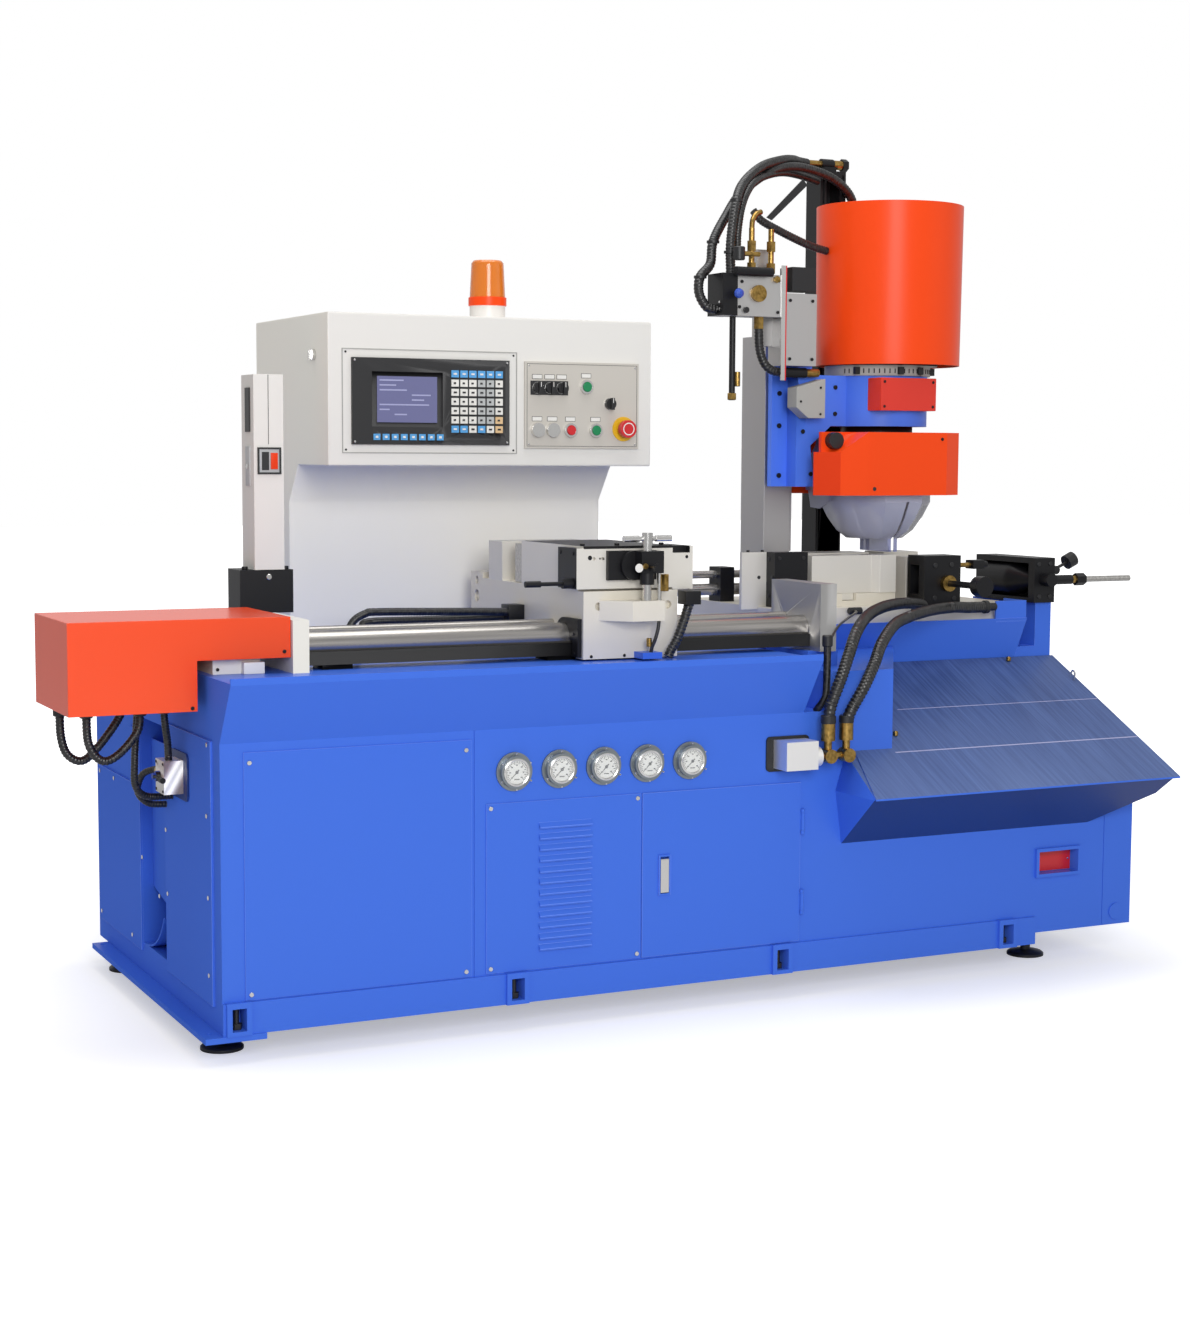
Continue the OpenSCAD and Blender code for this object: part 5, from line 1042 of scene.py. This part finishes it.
HEAD_HOSES = (
    ("outer_hose", 24, 1.0, 8, [(1355.8, 430, 1574), (1332, 432, 1580), (1315, 438, 1612), (1322, 446, 1650),
        (1360, 466, 1684), (1376, 482, 1738), (1424, 510, 1800), (1490, 545, 1868), (1596, 585, 1930),
        (1690, 622, 1950), (1785, 643, 1940), (1840, 650, 1918), (1880, 662, 1888), (1896, 676, 1856),
        (1898, 681, 1800)]),
    ("mast_hose", 24, 1.0, 8, [(1402, 440, 1659.5), (1404, 445, 1735), (1430, 465, 1838), (1478, 510, 1890),
        (1555, 560, 1936), (1640, 610, 1962), (1705, 662, 1973), (1745, 702, 1976), (1778, 715, 1975)]),
    ("motor_hose", 20, 0.8, 7, [(1480, 470, 1816), (1503, 470, 1794), (1550, 472, 1774), (1600, 476, 1756),
        (1650, 479, 1740), (1697, 480, 1730)]),
    ("twin_hose", 20, 0.8, 7, [(1426, 452, 1700), (1430, 458, 1760), (1452, 476, 1830), (1496, 510, 1882),
        (1560, 560, 1912), (1640, 610, 1932), (1720, 660, 1936), (1790, 678, 1925)]),
    ("arm_hose", 22, 1.0, 8, [(1473, 426, 1530.5), (1475, 424, 1484), (1486, 421, 1450), (1506, 420, 1433),
        (1532.8, 420, 1428)]),
)


class SAW_OT_hoses(bpy.types.Operator):
    """Lays the hoses and conduits with their spiral wrap"""

    bl_idname = "saw.hoses"
    bl_label = "Hoses"

    def execute(self, context):
        for rows, body, node in (
            (STILL_HOSES, "machine", "fixed_hoses"),
            (CARRIAGE_HOSES, "carriage", "carriage_hoses"),
            (HEAD_HOSES, "saw_head", "head_hoses"),
        ):
            for index, (name, d, rib, pitch, route) in enumerate(rows):
                mesh = Solids().tube(route, d, 14, rib, pitch).mesh(name)
                crosses = name == "mast_hose"
                made = piece(name, mesh, "rubber", None if crosses else body)
                if crosses:
                    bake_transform(made)
                if index == 0:
                    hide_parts(node)
        block = Solids().block(796, 834.8, 380, 426, 844, 884).block(1066, 1104, 30, 69.5, 900, 930)
        piece("hose_blocks", block.mesh("hose_blocks", 1.5), "black", "carriage")
        ends = Solids().rod("x", 2062, 2101, 305, 851, 20, 24, 2).rod("x", 2062, 2076, 304, 851, 33, 24, 2)
        ends.rod("z", 800, 826, 1405, -14, 24, 24, 2).rod("z", 628, 648, 1394, -40, 34, 24, 2)
        ends.rod("z", 628, 646, 1442, -40, 34, 24, 2).rod("x", 1676, 1712, 322, 850, 18, 20, 2)
        trim("hose_ends", ends, "dark")
        return {"FINISHED"}


class SAW_OT_fittings(bpy.types.Operator):
    """Dresses the union block with its brass elbows"""

    bl_idname = "saw.fittings"
    bl_label = "Hose fittings"

    def execute(self, context):
        x0, x1, y0, y1, z0, z1 = extent("union_block")
        dress("union_block", "die_cast", 1.0, [
            ("dark", (x0 - 1, x0 + 115, -4.5, 1, z0 - 1, z1 + 1)),
            ("brass", (1370.5, x1 + 20, y0 - 20, y1 + 1, z0 - 1, z1 + 60)),
        ])
        return {"FINISHED"}


CAMERA_PLACE = (-1240.7, -4221.4, 1236.2)
CAMERA_YAW = 26.12
CAMERA_PITCH = 5.45
CAMERA_ROLL = 0.3
CAMERA_LENS = 60.0


class SAW_OT_stage(bpy.types.Operator):
    """Sets the floor, the lights, the world and the camera"""

    bl_idname = "saw.stage"
    bl_label = "Stage"

    def execute(self, context):
        scene = context.scene
        floor_mesh = bpy.data.meshes.new("floor")
        size = 30.0
        floor_mesh.from_pydata([(-size, -size, 0), (size, -size, 0), (size, size, 0), (-size, size, 0)], [], [(0, 1, 2, 3)])
        floor = bpy.data.objects.new("floor", floor_mesh)
        scene.collection.objects.link(floor)
        made, tree, shader = new_finish("white_floor", "#e8e8e8", 0.9)
        shader.inputs["Specular IOR Level"].default_value = 0.0
        shader.inputs["Emission Color"].default_value = (1, 1, 1, 1)
        # Seen directly, the floor is lifted to white: a little near the machine, wholly far away
        spot = add_node(tree, "ShaderNodeTexCoord")
        away = add_node(tree, "ShaderNodeVectorMath", {0: spot.outputs["Object"]}, operation="LENGTH")
        lift = add_node(tree, "ShaderNodeMapRange", {"Value": away.outputs["Value"]})
        for name, value in (("From Min", 1.0), ("From Max", 3.2), ("To Min", 0.42), ("To Max", 1.0)):
            lift.inputs[name].default_value = value
        path = add_node(tree, "ShaderNodeLightPath")
        seen = add_node(
            tree, "ShaderNodeMath", {0: lift.outputs[0], 1: path.outputs["Is Camera Ray"]}, operation="MULTIPLY"
        )
        tree.links.new(seen.outputs[0], shader.inputs["Emission Strength"])
        floor_mesh.materials.append(made)

        world = bpy.data.worlds.new("soft_white")
        scene.world = world
        world.use_nodes = True
        tree = world.node_tree
        back = tree.nodes["Background"]
        back.inputs["Color"].default_value = (1, 1, 1, 1)
        path = add_node(tree, "ShaderNodeLightPath")
        seen = add_node(
            tree,
            "ShaderNodeMath",
            {0: path.outputs["Is Camera Ray"], 1: path.outputs["Is Transmission Ray"]},
            operation="MAXIMUM",
        )
        level = add_node(tree, "ShaderNodeMapRange", {"Value": seen.outputs[0]})
        level.inputs["To Min"].default_value = 0.44
        level.inputs["To Max"].default_value = 1.0
        mirrored = add_node(tree, "ShaderNodeMath", {0: path.outputs["Is Glossy Ray"]}, operation="MULTIPLY")
        mirrored.inputs[1].default_value = 0.2
        total = add_node(tree, "ShaderNodeMath", {0: level.outputs[0], 1: mirrored.outputs[0]}, operation="ADD")
        tree.links.new(total.outputs[0], back.inputs["Strength"])

        for name, place, size, power in (
            ("key_light", (-600, -5200, 2500), 2.2, 165),
            ("right_light", (4600, -2400, 2600), 2.0, 4),
            ("top_light", (900, 300, 4300), 2.6, 72),
        ):
            lamp = bpy.data.lights.new(name, "AREA")
            lamp.shape = "SQUARE"
            lamp.size = size
            lamp.energy = power
            lamp.color = (1, 1, 1)
            holder = bpy.data.objects.new(name, lamp)
            holder.location = CORNER + Vector(place) * MM
            aim = CORNER + Vector((1100, 400, 800)) * MM - holder.location
            holder.rotation_mode = "QUATERNION"
            holder.rotation_quaternion = aim.to_track_quat("-Z", "Y")
            scene.collection.objects.link(holder)

        lens = bpy.data.cameras.new("camera")
        lens.lens = CAMERA_LENS
        lens.sensor_width = 36.0
        lens.clip_end = 100
        camera = bpy.data.objects.new("camera", lens)
        yaw, pitch = math.radians(CAMERA_YAW), math.radians(CAMERA_PITCH)
        ahead = Vector(
            (math.sin(yaw) * math.cos(pitch), math.cos(yaw) * math.cos(pitch), -math.sin(pitch))
        )
        camera.location = CORNER + Vector(CAMERA_PLACE) * MM
        camera.rotation_mode = "QUATERNION"
        roll = Quaternion((0, 0, 1), math.radians(CAMERA_ROLL))
        camera.rotation_quaternion = ahead.to_track_quat("-Z", "Y") @ roll
        scene.collection.objects.link(camera)
        scene.camera = camera
        scene.view_settings.view_transform = "Standard"
        return {"FINISHED"}


OPERATORS = (
    SAW_OT_stage,
    SAW_OT_hoses,
    SAW_OT_base,
    SAW_OT_gauges,
    SAW_OT_feeder,
    SAW_OT_vise,
    SAW_OT_head,
    SAW_OT_blade,
    SAW_OT_console,
    SAW_OT_beacon,
    SAW_OT_fittings,
)


class SAW_PT_panel(bpy.types.Panel):
    """Lists the saw's settings and operators"""

    bl_label = "Cold saw"
    bl_idname = "SAW_PT_panel"
    bl_space_type = "VIEW_3D"
    bl_region_type = "UI"
    bl_category = "Cold saw"

    def draw(self, context):
        for group in (context.scene.saw_colours, context.scene.saw_sizes):
            for key in group.__annotations__:
                self.layout.prop(group, key)
        for operator in OPERATORS:
            self.layout.operator(operator.bl_idname)


CLASSES = (SawColours, SawSizes, *OPERATORS, SAW_PT_panel)


def register():
    for each in CLASSES:
        bpy.utils.register_class(each)
    bpy.types.Scene.saw_colours = bpy.props.PointerProperty(type=SawColours)
    bpy.types.Scene.saw_sizes = bpy.props.PointerProperty(type=SawSizes)


def unregister():
    del bpy.types.Scene.saw_sizes
    del bpy.types.Scene.saw_colours
    for each in reversed(CLASSES):
        bpy.utils.unregister_class(each)


def main():
    register()
    make_finishes(bpy.context.scene.saw_colours)
    for operator in OPERATORS:
        group, name = operator.bl_idname.split(".")
        getattr(getattr(bpy.ops, group), name)()


if __name__ == "__main__":
    main()
